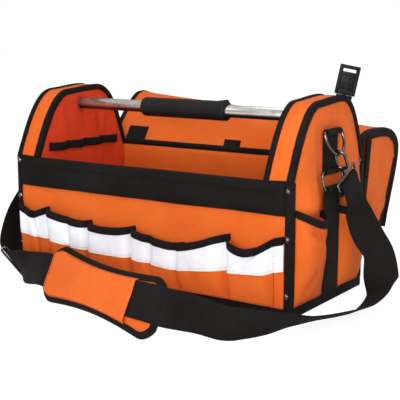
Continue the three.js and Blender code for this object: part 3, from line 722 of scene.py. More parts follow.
FINISHES = (
    WovenFinish(
        Slot.CLOTH, colour=(0.78, 0.156, 0.020, 1), shade=(0.67, 0.100, 0.011, 1),
        threads=(1100, 1100), relief=0.00025, roughness=(0.85, 0.7), sheen=0.02,
    ),
    # The lining is a cloth of its own. Its colour is also set darker and redder than the outer cloth, as
    # painted shade for the inside of the bag.
    WovenFinish(
        Slot.LINING, colour=(0.74, 0.06, 0.012, 1), shade=(0.6, 0.04, 0.009, 1),
        threads=(1100, 1100), relief=0.00025, roughness=(0.85, 0.7), sheen=0.02,
    ),
    WovenFinish(
        Slot.WEBBING, colour=(0.0084, 0.0062, 0.0052, 1), shade=(0.0030, 0.0022, 0.0019, 1),
        threads=(420, 560), relief=0.0005, roughness=(0.9, 0.7), sheen=0.008, mottle=0.4,
    ),
    TapeFinish(),
    # The steel tube, with painted shade on its lower half.
    MetalFinish(
        Slot.TUBE, colour=(0.70, 0.67, 0.62, 1), roughness=(0.20, 0.28), marks=(12, 900, 900),
        painted_shade=(0.06, 0.045, 0.038, 1), metallic=0.85,
    ),
    MetalFinish(Slot.METAL, colour=(0.16, 0.155, 0.15, 1), roughness=(0.14, 0.28), marks=(300, 300, 300)),
    MouldedFinish(
        Slot.GRIP, colour=(0.0065, 0.0058, 0.0052, 1), worn=(0.012, 0.0108, 0.0100, 1),
        grain=2200.0, relief=0.0001, roughness=(0.62, 0.5),
    ),
    MouldedFinish(
        Slot.PLASTIC, colour=(0.0045, 0.0043, 0.0043, 1), worn=(0.010, 0.0098, 0.0098, 1),
        grain=1500.0, relief=0.0001, roughness=(0.55, 0.4),
    ),
)


@dataclass
class Maker:
    """Turns a bmesh into a finished piece on one of the frame's bodies."""

    materials: dict[Slot, bpy.types.Material]
    sharp_angle: float = math.radians(48)
    made: list[str] = field(default_factory=list)

    def add(
        self,
        name: str,
        bm: Mesh,
        slot: Slot,
        nodes: Sequence[str] = (),
        thickness: float = 0.0,
        body: str = BAG_BODY,
    ) -> bpy.types.Object:
        """Makes the piece.

        Args:
            name: the piece's name.
            bm: its shape, which is used up.
            slot: the record's slot that its finish comes from.
            nodes: the frame's nodes that it stands for.
            thickness: how thick its cloth is, inwards from the faces of bm.
            body: the body that it moves with.

        Returns:
            The new object.
        """
        mesh = bpy.data.meshes.new(name)
        bm.to_mesh(mesh)
        bm.free()
        mesh.polygons.foreach_set("use_smooth", [True] * len(mesh.polygons))
        mesh.set_sharp_from_angle(angle=self.sharp_angle)
        mesh.materials.append(self.materials[slot])
        piece = bpy.data.objects.new(name, mesh)
        bpy.context.scene.collection.objects.link(piece)
        if thickness:
            wall = piece.modifiers.new("cloth_thickness", "SOLIDIFY")
            wall.thickness = thickness
            wall.offset = -1
        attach(piece, body)
        if nodes:
            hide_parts(*nodes)
        self.made.append(name)
        return piece


@dataclass
class Stitching:
    """Thread along seams: short raised stitches, gathered into one piece for each thread."""

    length: float = 0.0032
    pitch: float = 0.0046
    width: float = 0.0007
    height: float = 0.0006
    rows: list[Mesh] = field(default_factory=list)

    def row(self, line: Line, out: Vector | Line) -> None:
        """Sews along a line.

        Args:
            line: the seam's places.
            out: the direction away from the cloth, once or for each place.
        """
        total = sum((b - a).length for a, b in zip(line, line[1:]))
        count = max(int(total / self.pitch), 1)
        places = spaced(line, count * 2)
        outs = [out] if isinstance(out, Vector) else out
        size = Matrix.Diagonal((self.length / 2, self.width / 2, self.height, 1))
        bm = bmesh.new()
        bm.loops.layers.uv.new("UVMap")
        for k in range(count):
            start, middle, end = places[2 * k], places[2 * k + 1], places[2 * k + 2]
            run = (end - start).normalized()
            normal = outs[min(int((k + 0.5) / count * len(outs)), len(outs) - 1)]
            side = run.cross(normal).normalized()
            normal = side.cross(run)
            turn = Matrix((run, side, normal)).transposed().to_4x4()
            place = Matrix.Translation(middle) @ turn @ size
            bmesh.ops.create_uvsphere(bm, u_segments=6, v_segments=4, radius=1, matrix=place)
        self.rows.append(bm)

    def dress(self, maker: Maker, name: str, slot: Slot) -> None:
        """Makes one piece of all the rows sewn so far."""
        maker.add(name, fused(self.rows), slot)
        self.rows.clear()


@dataclass
class PocketSlot:
    """One opening of a pocket row: its start, its mouth's and hem's height there, and how its cloth hangs.

    Sag lowers the middle of the mouth, bulge stands the cloth off the wall, lean moves the bulge back along
    the row, and slant moves the seam at its start along the row from the mouth down to the hem.
    """

    start: float
    mouth: float
    hem: float
    sag: float = 0.0
    bulge: float = 0.0
    pocket: int = 0
    lean: float = 0.0
    slant: float = 0.0


@dataclass
class PocketRow:
    """Pleated pocket cloth along one face, with a bound mouth."""

    slots: Sequence[PocketSlot]
    creases: Sequence[Crease]
    fullness: float = 4.0
    foot_fill: float = 0.3
    rise_power: float = 2.2
    tuck: float = 0.12
    loose_bulge: float = 0.006
    cloth_wave: Wave = Wave(0.0009, 0.035)
    binding_height: float = 0.010
    binding_wave: Wave = Wave(0.0007, 0.02, 3.0)
    stitch_lift: float = 0.0028
    stitch_rise: float = 0.0022
    columns: int = 22
    rows: int = 22

    def slot_at(self, along: float) -> int:
        """The number of the slot at a place along the row."""
        k = 0
        while k < len(self.slots) - 2 and along > self.slots[k + 1].start:
            k += 1
        return k

    def column(self, along: float) -> Triple:
        """Mouth height, hem height and bulge at a place along the row."""
        k = self.slot_at(along)
        slot, after = self.slots[k], self.slots[k + 1]
        s = min(max((along - slot.start) / (after.start - slot.start), 0.0), 1.0)
        mouth = lerp(slot.mouth, after.mouth, s) - slot.sag * 4 * s * (1 - s)
        return mouth, lerp(slot.hem, after.hem, s), slot.bulge * (1 - abs(2 * s - 1) ** self.fullness)

    def out(self, along: float, z: float) -> float:
        """How far the cloth's outer face stands off the wall."""
        _, hem, depth = self.column(along)
        rise = min(max((z - RING_FOOT) / (hem - RING_FOOT), 0.0), 1.0)
        fill = lerp(self.foot_fill, 1.0, 1 - (1 - rise) ** self.rise_power) * ease(0.0, self.tuck, rise)
        loose = min(depth / self.loose_bulge, 1.0)
        wave = folds(self.creases, along, z) + self.cloth_wave.at(along, z)
        return SEAM + POCKET_CLOTH + depth * fill + wave * loose

    def stations(self, first: int, last: int) -> list[float]:
        """Places along the row from one slot to another, closer together near the seams."""
        found = [self.slots[first].start]
        for slot, after in zip(self.slots[first:last], self.slots[first + 1:last + 1]):
            for k in range(1, self.columns + 1):
                share = (1 - math.cos(math.pi * k / self.columns)) / 2
                found.append(lerp(slot.start, after.start, lerp(k / self.columns, share, 0.7)))
        return found

    def cloth(self, first: int, last: int, put: Callable, facing: Vector) -> Mesh:
        """The cloth of the pockets from one slot to another."""
        stations = self.stations(first, last)

        def place(u: float, v: float) -> Vector:
            """The cloth's outer face."""
            along = stations[round(u * (len(stations) - 1))]
            z = lerp(RING_FOOT, self.column(along)[0], v)
            return put(along, self.out(along, z), z)

        flat = (stations[-1] - stations[0], self.slots[first].mouth)
        return sheet(len(stations) - 1, self.rows, place, flat, facing)

    def binding(self, put: Callable) -> Mesh:
        """The folded tape over the mouth of the whole row."""
        top = self.binding_height
        section = (
            (-0.0022, 0.0003), (-0.0024, top * 0.5), (-0.0017, top * 0.86), (0.0002, top),
            (0.0020, top * 0.9), (0.0029, top * 0.62), (0.0028, top * 0.25), (0.0027, -0.0016),
            (0.0017, -0.0016), (0.0017, 0.0003),
        )
        rings = []
        for along in self.stations(0, len(self.slots) - 1):
            mouth = self.column(along)[0]
            face = self.out(along, mouth)
            fold = self.binding_wave.at(along)
            rings.append([put(along, face + p + fold * (q > 0.002), mouth + q) for p, q in section])
        return loft(rings)

    def mouth_line(self, put: Callable) -> list[Vector]:
        """The line of the stitches along the bound mouth."""
        line = []
        for along in self.stations(0, len(self.slots) - 1):
            mouth = self.column(along)[0]
            line.append(put(along, self.out(along, mouth) + self.stitch_lift, mouth + self.stitch_rise))
        return line


@dataclass
class Studio:
    """Camera, floor and soft light."""

    azimuth: float = math.radians(33.98)
    elevation: float = math.radians(10.31)
    distance: float = 1.4235
    target: Triple = (0.08379, -0.08345, 0.14641)
    lens: float = 87.51
    floor_colour: Colour = (0.80, 0.80, 0.80, 1)
    floor_seen: Colour = (0.30, 0.30, 0.30, 1)
    floor_painted_glow: float = 0.86
    floor_roughness: float = 0.9
    floor_half: float = 8.0
    fill: Colour = (0.30, 0.30, 0.31, 1)
    sky: Colour = (0.72, 0.72, 0.73, 1)
    lights: Sequence[tuple[str, Triple, float, float]] = (
        ("key_softbox", (-1.1, -1.6, 1.9), 0.9, 9.0),
        ("side_softbox", (1.9, -0.9, 1.3), 0.8, 10.0),
        ("front_softbox", (0.85, -1.8, 0.52), 0.7, 24.0),
        ("top_softbox", (0.2, 0.5, 2.0), 1.0, 8.0),
    )

    def build(self) -> None:
        """Sets up the whole studio."""
        self.add_camera()
        self.add_floor()
        self.add_world()
        bpy.context.scene.view_settings.view_transform = "Standard"
        for name, place, size, power in self.lights:
            self.add_light(name, place, size, power)

    def add_world(self) -> None:
        """Sets a soft white surround that is seen brighter than it lights."""
        world = bpy.data.worlds.new("studio")
        world.use_nodes = True
        nodes = Nodes(world.node_tree)
        seen = nodes.add("ShaderNodeLightPath").outputs["Is Camera Ray"]
        rise = nodes.parts(nodes.add("ShaderNodeTexCoord").outputs["Generated"])[2]
        surround = nodes.blend(nodes.spread(rise, 0.0, 0.9, 0.0, 1.0), self.fill, self.sky)
        background = world.node_tree.nodes["Background"]
        nodes.feed(background.inputs["Color"], nodes.blend(seen, surround, (1, 1, 1, 1)))
        background.inputs["Strength"].default_value = 1.0
        bpy.context.scene.world = world

    def aim(self, item: bpy.types.Object, place: Vector) -> None:
        """Puts the camera or a light at a place, looking at the bag."""
        item.location = place
        item.rotation_euler = (Vector(self.target) - place).to_track_quat("-Z", "Y").to_euler()
        bpy.context.scene.collection.objects.link(item)

    def add_camera(self) -> None:
        """Puts the camera at the photograph's angle."""
        flat = math.cos(self.elevation)
        east, south = math.sin(self.azimuth) * flat, -math.cos(self.azimuth) * flat
        away = Vector((east, south, math.sin(self.elevation)))
        data = bpy.data.cameras.new("camera")
        data.lens = self.lens
        camera = bpy.data.objects.new("camera", data)
        self.aim(camera, Vector(self.target) + away * self.distance)
        bpy.context.scene.camera = camera

    def add_floor(self) -> None:
        """Lays the pale floor, which is seen brighter than it lights."""
        bm = bmesh.new()
        bmesh.ops.create_grid(bm, x_segments=1, y_segments=1, size=self.floor_half)
        mesh = bpy.data.meshes.new("floor")
        bm.to_mesh(mesh)
        bm.free()
        material = bpy.data.materials.new("studio_floor")
        material.use_nodes = True
        shader = material.node_tree.nodes["Principled BSDF"]
        nodes = Nodes(material.node_tree)
        seen = nodes.add("ShaderNodeLightPath").outputs["Is Camera Ray"]
        nodes.feed(shader.inputs["Emission Color"], nodes.blend(seen, (0, 0, 0, 1), (1, 1, 1, 1)))
        shader.inputs["Emission Strength"].default_value = self.floor_painted_glow
        nodes.feed(shader.inputs["Base Color"], nodes.blend(seen, self.floor_colour, self.floor_seen))
        shader.inputs["Roughness"].default_value = self.floor_roughness
        mesh.materials.append(material)
        floor = bpy.data.objects.new("floor", mesh)
        bpy.context.scene.collection.objects.link(floor)
        floor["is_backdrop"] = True

    def add_light(self, name: str, place: Triple, size: float, power: float) -> None:
        """Hangs one square softbox that looks at the bag."""
        data = bpy.data.lights.new(name, "AREA")
        data.size = size
        data.energy = power
        self.aim(bpy.data.objects.new(name, data), Vector(place))


@dataclass
class Body:
    """Base tray, walls, the black band along the front and the corner strips with their rivets."""

    base_corner: float = 0.007
    base_rim: float = 0.003
    base_depth: float = 0.010
    base_round: float = 0.0011
    wall_slack: float = 0.0012
    wall_wave: Wave = Wave(0.0012, 0.07, 5.0)
    band_bottom: float = 0.144
    band_half: float = 0.2424
    band_thickness: float = 0.0022
    band_lip: float = 0.0125
    band_inside: float = 0.014
    band_rise: float = 0.0014
    band_slack: float = 0.0010
    band_droop: float = 0.0016
    slack_waves: Sequence[Wave] = (Wave(0.0011, 0.09, 1.0), Wave(0.0007, 0.028, 7.0))
    droop_wave: Wave = Wave(0.0012, 0.13, 2.0)
    fold_wave: Wave = Wave(0.0018, 0.045, 6.0)
    hem_wave: Wave = Wave(0.0012, 0.11, 4.0)
    binding_wave: Wave = Wave(0.0004, 0.05, 8.0)
    strip_face: float = 0.007
    strip_side: float = 0.011
    strip_thickness: float = 0.0022
    strip_wave: Wave = Wave(0.00003, 0.02)
    front_rivets: dict[Side, tuple[float, ...]] = field(
        default_factory=lambda: {Side.LEFT: (0.184, 0.126, 0.047), Side.RIGHT: (0.179, 0.113, 0.033)})
    rivet_inset: float = 0.003
    end_rivet: Triple = (0.0025, 0.097, 0.198)
    rivet_dome: Section = (
        (0, 0), (0.0036, 0), (0.0038, 0.0005), (0.0032, 0.0009), (0.0027, 0.0015), (0.0014, 0.0021),
        (0, 0.0023),
    )

    def build(self, maker: Maker, stitching: Stitching) -> None:
        """Makes every piece of the body."""
        self.add_base(maker)
        for name, sign in (("front_wall", -1), ("back_wall", 1)):
            self.add_wall(maker, name, sign)
        self.add_band(maker, stitching)
        self.add_back_binding(maker, stitching)
        for side in Side:
            for name, sign in (("front", -1), ("back", 1)):
                self.add_strip(maker, stitching, name, side, sign)
        self.add_rivets(maker)

    def add_base(self, maker: Maker) -> None:
        """The stiff tray that the bag stands on."""
        low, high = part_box("base")
        bm = bmesh.new()
        bm.loops.layers.uv.new("UVMap")
        bmesh.ops.create_cube(bm, size=1)
        bmesh.ops.scale(bm, vec=high - low, verts=bm.verts[:])
        bmesh.ops.translate(bm, vec=(low + high) / 2, verts=bm.verts[:])
        bevel = {"profile": 0.5, "affect": "EDGES", "material": -1}
        upright = [edge for edge in bm.edges if abs(edge.verts[0].co.z - edge.verts[1].co.z) > 0.001]
        bmesh.ops.bevel(bm, geom=upright, offset=self.base_corner, segments=5, **bevel)
        lids = [face for face in bm.faces if face.normal.z > 0.9]
        bmesh.ops.inset_region(bm, faces=lids, thickness=self.base_rim, use_even_offset=True)
        sunk = bmesh.ops.extrude_face_region(bm, geom=lids)
        bmesh.ops.delete(bm, geom=lids, context="FACES")
        floor = [part for part in sunk["geom"] if isinstance(part, bmesh.types.BMVert)]
        bmesh.ops.translate(bm, vec=(0, 0, -self.base_depth), verts=floor)
        sharp = [edge for edge in bm.edges if edge.is_manifold and edge.calc_face_angle(0.0) > 1.2]
        bmesh.ops.bevel(bm, geom=sharp, offset=self.base_round, segments=3, **bevel)
        bmesh.ops.recalc_face_normals(bm, faces=bm.faces[:])
        maker.add("base_tray", bm, Slot.WEBBING, ["base"])

    def add_wall(self, maker: Maker, name: str, sign: int) -> None:
        """A long wall: board under cloth, drawn in a little between its seams."""

        def place(u: float, v: float) -> Vector:
            """The wall's outer face."""
            x = lerp(-HALF_LENGTH, HALF_LENGTH, u)
            z = lerp(WALL_FOOT, WALL_TOP, v)
            slack = math.sin(math.pi * v) * ease(0.0, 0.12, u) * ease(1.0, 0.88, u)
            sink = slack * (self.wall_slack + self.wall_wave.at(x, z, sign))
            return Vector((x, sign * (HALF_DEPTH - max(sink, 0.0)), z))

        flat = (2 * HALF_LENGTH, WALL_TOP - WALL_FOOT)
        bm = sheet(72, 26, place, flat, Y_AXIS * sign)
        maker.add(name + "_cloth", bm, Slot.CLOTH, [name], WALL)

    def add_band(self, maker: Maker, stitching: Stitching) -> None:
        """The black band along the top of the front wall, folded over its edge."""
        face = HALF_DEPTH + SEAM
        t = self.band_thickness
        lip = WALL_TOP - self.band_lip
        inside = WALL_TOP - self.band_inside
        rings = []
        columns = 96
        front_line = []
        lower_line = []
        for i in range(columns + 1):
            x = lerp(-self.band_half, self.band_half, i / columns)
            edge = min(i, columns - i) / columns
            slack = ease(0.0, 0.08, edge)
            droop = slack * (self.band_droop + self.droop_wave.at(x))
            out = face + t + slack * (self.band_slack + sum(wave.at(x) for wave in self.slack_waves))
            fold = lip - droop + slack * self.fold_wave.at(x)
            top = WALL_TOP + self.band_rise - droop
            low = self.band_bottom + slack * self.hem_wave.at(x)
            back = face - WALL
            half = face - WALL * 0.5
            outline = (
                (face, low), (out - 0.0006, low), (out, low + 0.0008),
                (out + 0.0006 * slack, lerp(low, lip, 0.5)), (out, fold), (out + 0.0012, fold + 0.0007),
                (out + 0.0012, top - 0.003), (out, top - 0.0006), (face + 0.0004, top + 0.0009),
                (half, top + 0.0012), (back - 0.0010, top + 0.0006), (back - 0.0020, top - 0.0016),
                (back - 0.0020, inside), (back - 0.0007, inside), (back - 0.0006, WALL_TOP - 0.002),
                (half, WALL_TOP + 0.0003 - droop * 0.2), (face, WALL_TOP - 0.002),
            )
            rings.append([Vector((x, -y, z)) for y, z in outline])
            front_line.append(Vector((x, -out - 0.0012, fold + 0.0022)))
            lower_line.append(Vector((x, -out - 0.0001, low + 0.004)))
        maker.add("front_band_webbing", loft(rings), Slot.WEBBING, ["front_band"])
        stitching.row(front_line, -Y_AXIS)
        stitching.row(lower_line, -Y_AXIS)

    def add_back_binding(self, maker: Maker, stitching: Stitching) -> None:
        """The bound seam where the lid joins the back wall."""
        low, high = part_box("back_wall_binding")
        middle = (low + high) / 2
        section = flat_section(high.z - low.z, high.y - low.y - 0.0008, 4)
        rings = []
        line = []
        steps = 60
        for i in range(steps + 1):
            x = lerp(low.x, high.x, i / steps)
            swell = self.binding_wave.at(x)
            rings.append([Vector((x, middle.y + p + swell, middle.z + q)) for p, q in section])
            line.append(Vector((x, low.y + 0.0003 + swell, lerp(low.z, high.z, 0.3))))
        maker.add("back_binding", loft(rings), Slot.WEBBING, ["back_wall_binding"])
        stitching.row(line, -Y_AXIS)

    def add_strip(self, maker: Maker, stitching: Stitching, name: str, side: Side, sign: int) -> None:
        """One bound upright corner."""
        t = self.strip_thickness
        x, y = HALF_LENGTH + SEAM, HALF_DEPTH + SEAM
        bend = [(x + t * math.cos(a), y + t * math.sin(a)) for a in (0.2, 0.6, 1.0, 1.37)]
        inner, back = x - self.strip_face, y - self.strip_side
        section = [
            (inner, y), (x, y), (x, back), (x + t * 0.7, back - 0.0004), (x + t, back + 0.0008),
            (x + t + 0.0003, y - self.strip_side * 0.5), *bend, (x - self.strip_face * 0.5, y + t + 0.0003),
            (inner + 0.0006, y + t), (inner - 0.0003, y + t * 0.6),
        ]
        rings = []
        line = []
        steps = 40
        for i in range(steps + 1):
            z = lerp(RIM_TOP + SEAM, WALL_TOP - SEAM, i / steps)
            swell = 1 + self.strip_wave.at(z, shift=side.value + 2.0 * sign)
            rings.append([Vector((side.value * p * swell, sign * q * swell, z)) for p, q in section])
            line.append(Vector((side.value * (inner + 0.0012), sign * (y + t), z)))
        place = f"{name}_{side.label}"
        maker.add(f"corner_{place}", loft(rings), Slot.WEBBING, [f"corner_strip_{place}"])
        stitching.row(line, Y_AXIS * sign)

    def add_rivets(self, maker: Maker) -> None:
        """Domed rivets through the front corners and the back edge of the ends."""
        face = HALF_DEPTH + SEAM + self.strip_thickness
        out, y, height = self.end_rivet
        rivets = []
        for side, heights in self.front_rivets.items():
            x = side.value * (HALF_LENGTH - self.rivet_inset)
            places = [(Vector((x, -face, z)), -Y_AXIS) for z in heights]
            places.append((Vector((side.value * (HALF_LENGTH + out), y, height)), X_AXIS * side.value))
            rivets += [moved(lathe(self.rivet_dome), aimed(place, way)) for place, way in places]
        maker.add("rivets", fused(rivets), Slot.METAL)


@dataclass
class FrontPockets:
    """Six pleated pockets, the reflective tape across them and their bound mouth."""

    slots: Sequence[PocketSlot] = (
        PocketSlot(-0.2424, 0.108, 0.068, 0.0, 0.011, 1),
        PocketSlot(-0.212, 0.094, 0.063, 0.0, 0.008, 1, slant=0.009),
        PocketSlot(-0.185, 0.104, 0.063, 0.002, 0.016, 2, slant=0.005),
        PocketSlot(-0.097, 0.092, 0.055, 0.004, 0.018, 3, 0.1),
        PocketSlot(-0.012, 0.093, 0.055, 0.002, 0.017, 4, 0.2),
        PocketSlot(0.078, 0.079, 0.048, 0.004, 0.018, 5, 0.6),
        PocketSlot(0.156, 0.101, 0.058, 0.015, 0.020, 6),
        PocketSlot(0.227, 0.103, 0.064, 0.0, 0.0006, 6),
        PocketSlot(0.2424, 0.107, 0.068),
    )
    creases: Sequence[Crease] = (
        Crease((-0.140, 0.030), (-0.134, 0.104), -0.0065, 0.006),
        Crease((-0.066, 0.060), (-0.040, 0.092), -0.0020, 0.006),
        Crease((0.024, 0.026), (0.030, 0.098), -0.0065, 0.006),
        Crease((0.178, 0.071), (0.218, 0.098), -0.0080, 0.0030),
        Crease((0.118, 0.020), (0.100, 0.070), -0.0022, 0.008),
        Crease((-0.228, 0.030), (-0.226, 0.100), -0.0018, 0.005),
    )
    tape_gap: float = 0.0005
    tape_thickness: float = 0.0010
    tape_pucker: Wave = Wave(0.0005, 0.009, 6.0)

    def build(self, maker: Maker, stitching: Stitching) -> None:
        """Makes the pockets with their tape and binding."""
        row = PocketRow(
            self.slots, self.creases, fullness=9.0, foot_fill=0.45, rise_power=1.5, columns=34, rows=34,
        )

        def put(along: float, out: float, z: float) -> Vector:
            """A place off the front wall, moved with the lean and slant of the pleats."""
            k = row.slot_at(along)
            slot, after = self.slots[k], self.slots[k + 1]
            mouth, hem, _ = row.column(along)
            share = (along - slot.start) / (after.start - slot.start)
            drift = lerp(slot.slant, after.slant, share) * ease(mouth, hem, z)
            loose = max(out - SEAM - POCKET_CLOTH, 0.0)
            return Vector((along - slot.lean * loose + drift, -HALF_DEPTH - out, z))

        for pocket in range(1, 7):
            members = [k for k, slot in enumerate(self.slots) if slot.pocket == pocket]
            bm = row.cloth(members[0], members[-1] + 1, put, -Y_AXIS)
            maker.add(f"pocket_cloth_{pocket}", bm, Slot.CLOTH, [f"front_pocket_{pocket}"], POCKET_CLOTH)
        maker.add("pocket_mouth_binding", row.binding(put), Slot.WEBBING, ["pocket_binding"])
        self.add_tape(maker, row, put)
        stitching.row(row.mouth_line(put), -Y_AXIS)
        tape = self.tape_gap + self.tape_thickness
        for slot in self.slots[1:-1]:
            seam = []
            for k in range(17):
                z = lerp(RING_FOOT, slot.mouth, k / 16)
                seam.append(put(slot.start, row.out(slot.start, z) + tape * (z > slot.hem) + 0.0001, z))
            stitching.row(seam, -Y_AXIS)

    def add_tape(self, maker: Maker, row: PocketRow, put: Callable) -> None:
        """The reflective tape, sewn over the pockets below their mouths."""
        stations = row.stations(0, len(self.slots) - 1)
        lift = self.tape_gap + self.tape_thickness

        def place(u: float, v: float) -> Vector:
            """The tape's outer face."""
            along = stations[round(u * (len(stations) - 1))]
            mouth, hem, depth = row.column(along)
            z = lerp(hem, mouth - 0.0002, v)
            pucker = self.tape_pucker.at(along, z) * min(depth / 0.004, 1.0) * bell(v, 0.25)
            return put(along, row.out(along, z) + lift + pucker, z)

        flat = (stations[-1] - stations[0], self.slots[0].mouth - self.slots[0].hem)
        bm = sheet(len(stations) - 1, 28, place, flat, -Y_AXIS)
        maker.add("tape_film", bm, Slot.TAPE, ["reflective_tape"], self.tape_thickness)


@dataclass
class EndPanel:
    """One padded end: its panels, gusset, bound edges, pocket, sewn webbing, rings and snap hook."""

    side: Side
    knots: Sequence[Pair] = (
        (-0.113, 0.1903), (-0.097, 0.226), (-0.072, 0.291), (-0.034, 0.2925),
        (-0.010, 0.2935), (0.012, 0.297), (0.036, 0.297),
        (0.079, 0.297), (0.095, 0.238), (0.113, 0.1903),
    )
    slots: Sequence[PocketSlot] = (
        PocketSlot(-0.1014, 0.142, 0.100, 0.012, 0.020),
        PocketSlot(-0.026, 0.130, 0.086, 0.0, 0.0006),
        PocketSlot(0.026, 0.130, 0.086, 0.012, 0.020),
        PocketSlot(0.1014, 0.142, 0.100),
    )
    pocket_creases: Sequence[Crease] = (
        Crease((-0.094, 0.128), (-0.040, 0.098), -0.0065, 0.0045),
        Crease((-0.088, 0.138), (-0.048, 0.116), 0.0030, 0.004),
        Crease((-0.092, 0.030), (-0.062, 0.062), -0.0040, 0.006),
        Crease((-0.040, 0.028), (-0.046, 0.082), -0.0035, 0.005),
        Crease((0.090, 0.128), (0.044, 0.098), -0.0040, 0.005),
        Crease((0.086, 0.030), (0.052, 0.070), -0.0030, 0.006),
    )
    inner_creases: Sequence[Crease] = (
        Crease((0.018, 0.288), (0.034, 0.222), 0.0050, 0.0045),
        Crease((0.046, 0.284), (0.056, 0.220), 0.0045, 0.0045),
        Crease((0.004, 0.262), (0.010, 0.222), -0.0020, 0.006),
        Crease((-0.060, 0.270), (-0.040, 0.222), 0.0035, 0.007),
    )
    panel_height: float = 0.29
    arch_top: float = 0.294
    arch_drop: float = 0.104
    arch_flat: float = 0.03
    rim_flat: float = 0.004
    rim_fade: Pair = (0.03, 0.035)
    patch_side: Pair = (0.058, 0.0235)
    patch_foot: Pair = (0.170, 0.190)
    patch_head: Pair = (0.268, 0.256)
    strap_side: Pair = (0.060, 0.025)
    strap_head: Pair = (0.196, 0.180)
    pocket_fade: Pair = (0.098, 0.165)
    padding: float = 0.0042
    padding_wave: Wave = Wave(0.0010, 0.05, 9.0)
    belly: float = 0.0125
    belly_at: Pair = (0.066, 0.153)
    belly_half: Pair = (0.030, 0.042)
    chin_half: float = 0.020
    lining_fade: float = 0.02
    lining_wave: Wave = Wave(0.0008, 0.04, 12.0)
    gusset_swell: float = 0.0012
    gusset_wave: Wave = Wave(0.0007, 0.03, 14.0)
    binding_leg: float = 0.0065
    binding_thickness: float = 0.0025
    binding_wave: Wave = Wave(0.07, 5.0)
    patch_width: float = 0.045
    patch_sewn: Pair = (0.242, 0.204)
    webbing_width: float = 0.048
    webbing_thickness: float = 0.002
    hole_radius: float = 0.0098
    ring_half: float = 0.031
    ring_wire: float = 0.002
    d_half: float = 0.027
    d_drop: float = 0.034
    d_wire: float = 0.0023
    d_lean: float = 0.32
    d_height: float = 0.250
    loop_gap: float = 0.0016
    ring_top: float = 0.194
    ring_bottom: Pair = (0.2595, 0.170)

    def outline(self, steps: int) -> list[Frame]:
        """Frames along the arched edge, from front to back."""
        line: list[Vector] = []
        for k in (0, 3, 6):
            bend = [Vector(self.knots[k + n]) for n in range(4)]
            line += geometry.interpolate_bezier(*bend, 40)[1 if k else 0:]
        points = spaced(line, steps)
        frames = planar_frames(points, Vector(), Y_AXIS, Z_AXIS, False)
        frames[0] = (frames[0][0], -Y_AXIS, X_AXIS)
        frames[-1] = (frames[-1][0], Y_AXIS, X_AXIS)
        return frames

    def mirrored(self, place: Vector) -> Vector:
        """A place of the right end, moved to this end."""
        return Vector((place.x * self.side.value, place.y, place.z))

    def build(self, maker: Maker, stitching: Stitching) -> None:
        """Makes every piece of this end."""
        self.add_panels(maker)
        self.add_bindings(maker, stitching)
        self.add_pocket(maker, stitching)
        self.add_webbing(maker, stitching)
        self.add_rings(maker)
        self.hook().build(maker)

    def panel(self, face: Callable[[float, float], float], looks: int) -> Mesh:
        """An end panel from the base to the arched edge.

        Args:
            face: gives X for a place of the panel.
            looks: 1 where the panel's own face looks outwards, -1 inwards.

        Returns:
            The panel's sheet.
        """
        columns, rows = 64, 56
        frames = self.outline(columns)
        inset = WALL + SEAM
        upper = [origin - a * inset for origin, a, _ in frames]
        edge = HALF_DEPTH - inset

        def place(u: float, v: float) -> Vector:
            """The panel's face."""
            top = upper[round(u * columns)]
            y = lerp(lerp(-edge, edge, u), top.y, v)
            z = lerp(WALL_FOOT, top.z, v)
            return self.mirrored(Vector((face(y, z), y, z)))

        return sheet(columns, rows, place, (2 * edge, self.panel_height), X_AXIS * self.side.value * looks)

    def puff(self, y: float, z: float) -> float:
        """How far the padding swells the outer panel, held flat under the sewn patch and at the edges."""
        share = max(abs(y) - self.arch_flat, 0.0) / (HALF_DEPTH - self.arch_flat)
        top = self.arch_top - self.arch_drop * share**2
        beside, below = self.rim_fade
        rim = ease(0.0, beside, HALF_DEPTH - self.rim_flat - abs(y))
        rim *= ease(0.0, below, top - self.rim_flat - z)
        patch = 1 - ease(*self.patch_side, abs(y)) * ease(*self.patch_foot, z) * ease(*self.patch_head, z)
        strap = 1 - ease(*self.strap_side, abs(y)) * ease(*self.strap_head, z)
        above = ease(*self.pocket_fade, z)
        wide, high = self.belly_half
        over = z - self.belly_at[1]
        belly = bell(over, high if over > 0 else self.chin_half) * bell(abs(y) - self.belly_at[0], wide)
        swell = self.belly * belly + above * (self.padding + self.padding_wave.at(y, z))
        return rim * patch * strap * swell

    def add_panels(self, maker: Maker) -> None:
        """The outer panel, the lining panel with the handle's hole, and the gusset between them."""
        label = self.side.label
        bm = self.panel(lambda y, z: HALF_LENGTH + self.puff(y, z), 1)
        maker.add(f"end_face_{label}", bm, Slot.CLOTH, [f"end_outer_{label}"], WALL)

        def lining(y: float, z: float) -> float:
            """The lining's face, creased above the wall."""
            beside = ease(0.0, self.lining_fade, HALF_DEPTH - self.rim_flat - abs(y))
            rim = beside * ease(0.0, self.lining_fade, self.panel_height - z)
            fold = folds(self.inner_creases, y, z) + self.lining_wave.at(y, z)
            return INNER_FACE - rim * max(fold, -0.002)

        bm = self.panel(lining, -1)
        self.punch(bm, Vector((0, HANDLE_HEIGHT)), self.hole_radius)
        maker.add(f"end_lining_{label}", bm, Slot.LINING, [f"end_inner_{label}"], WALL)

        columns = 72
        frames = self.outline(columns)
        low, high = INNER_FACE + WALL + SEAM, HALF_LENGTH - WALL - SEAM
        length = sum((b[0] - a[0]).length for a, b in zip(frames, frames[1:]))

        def gusset(u: float, v: float) -> Vector:
            """The gusset's outer face."""
            origin, a, _ = frames[round(u * columns)]
            swell = self.gusset_swell + self.gusset_wave.at(u * length, v * 0.03)
            slack = math.sin(math.pi * v) * ease(0.0, 0.06, u) * ease(1.0, 0.94, u)
            return self.mirrored(origin + a * swell * slack + X_AXIS * lerp(low, high, v))

        bm = sheet(columns, 10, gusset, (length, high - low), Z_AXIS)
        maker.add(f"end_gusset_cloth_{label}", bm, Slot.CLOTH, [f"end_gusset_{label}"], WALL)

    @staticmethod
    def punch(bm: Mesh, centre: Vector, radius: float) -> None:
        """Opens a round hole in a panel that stands across X."""

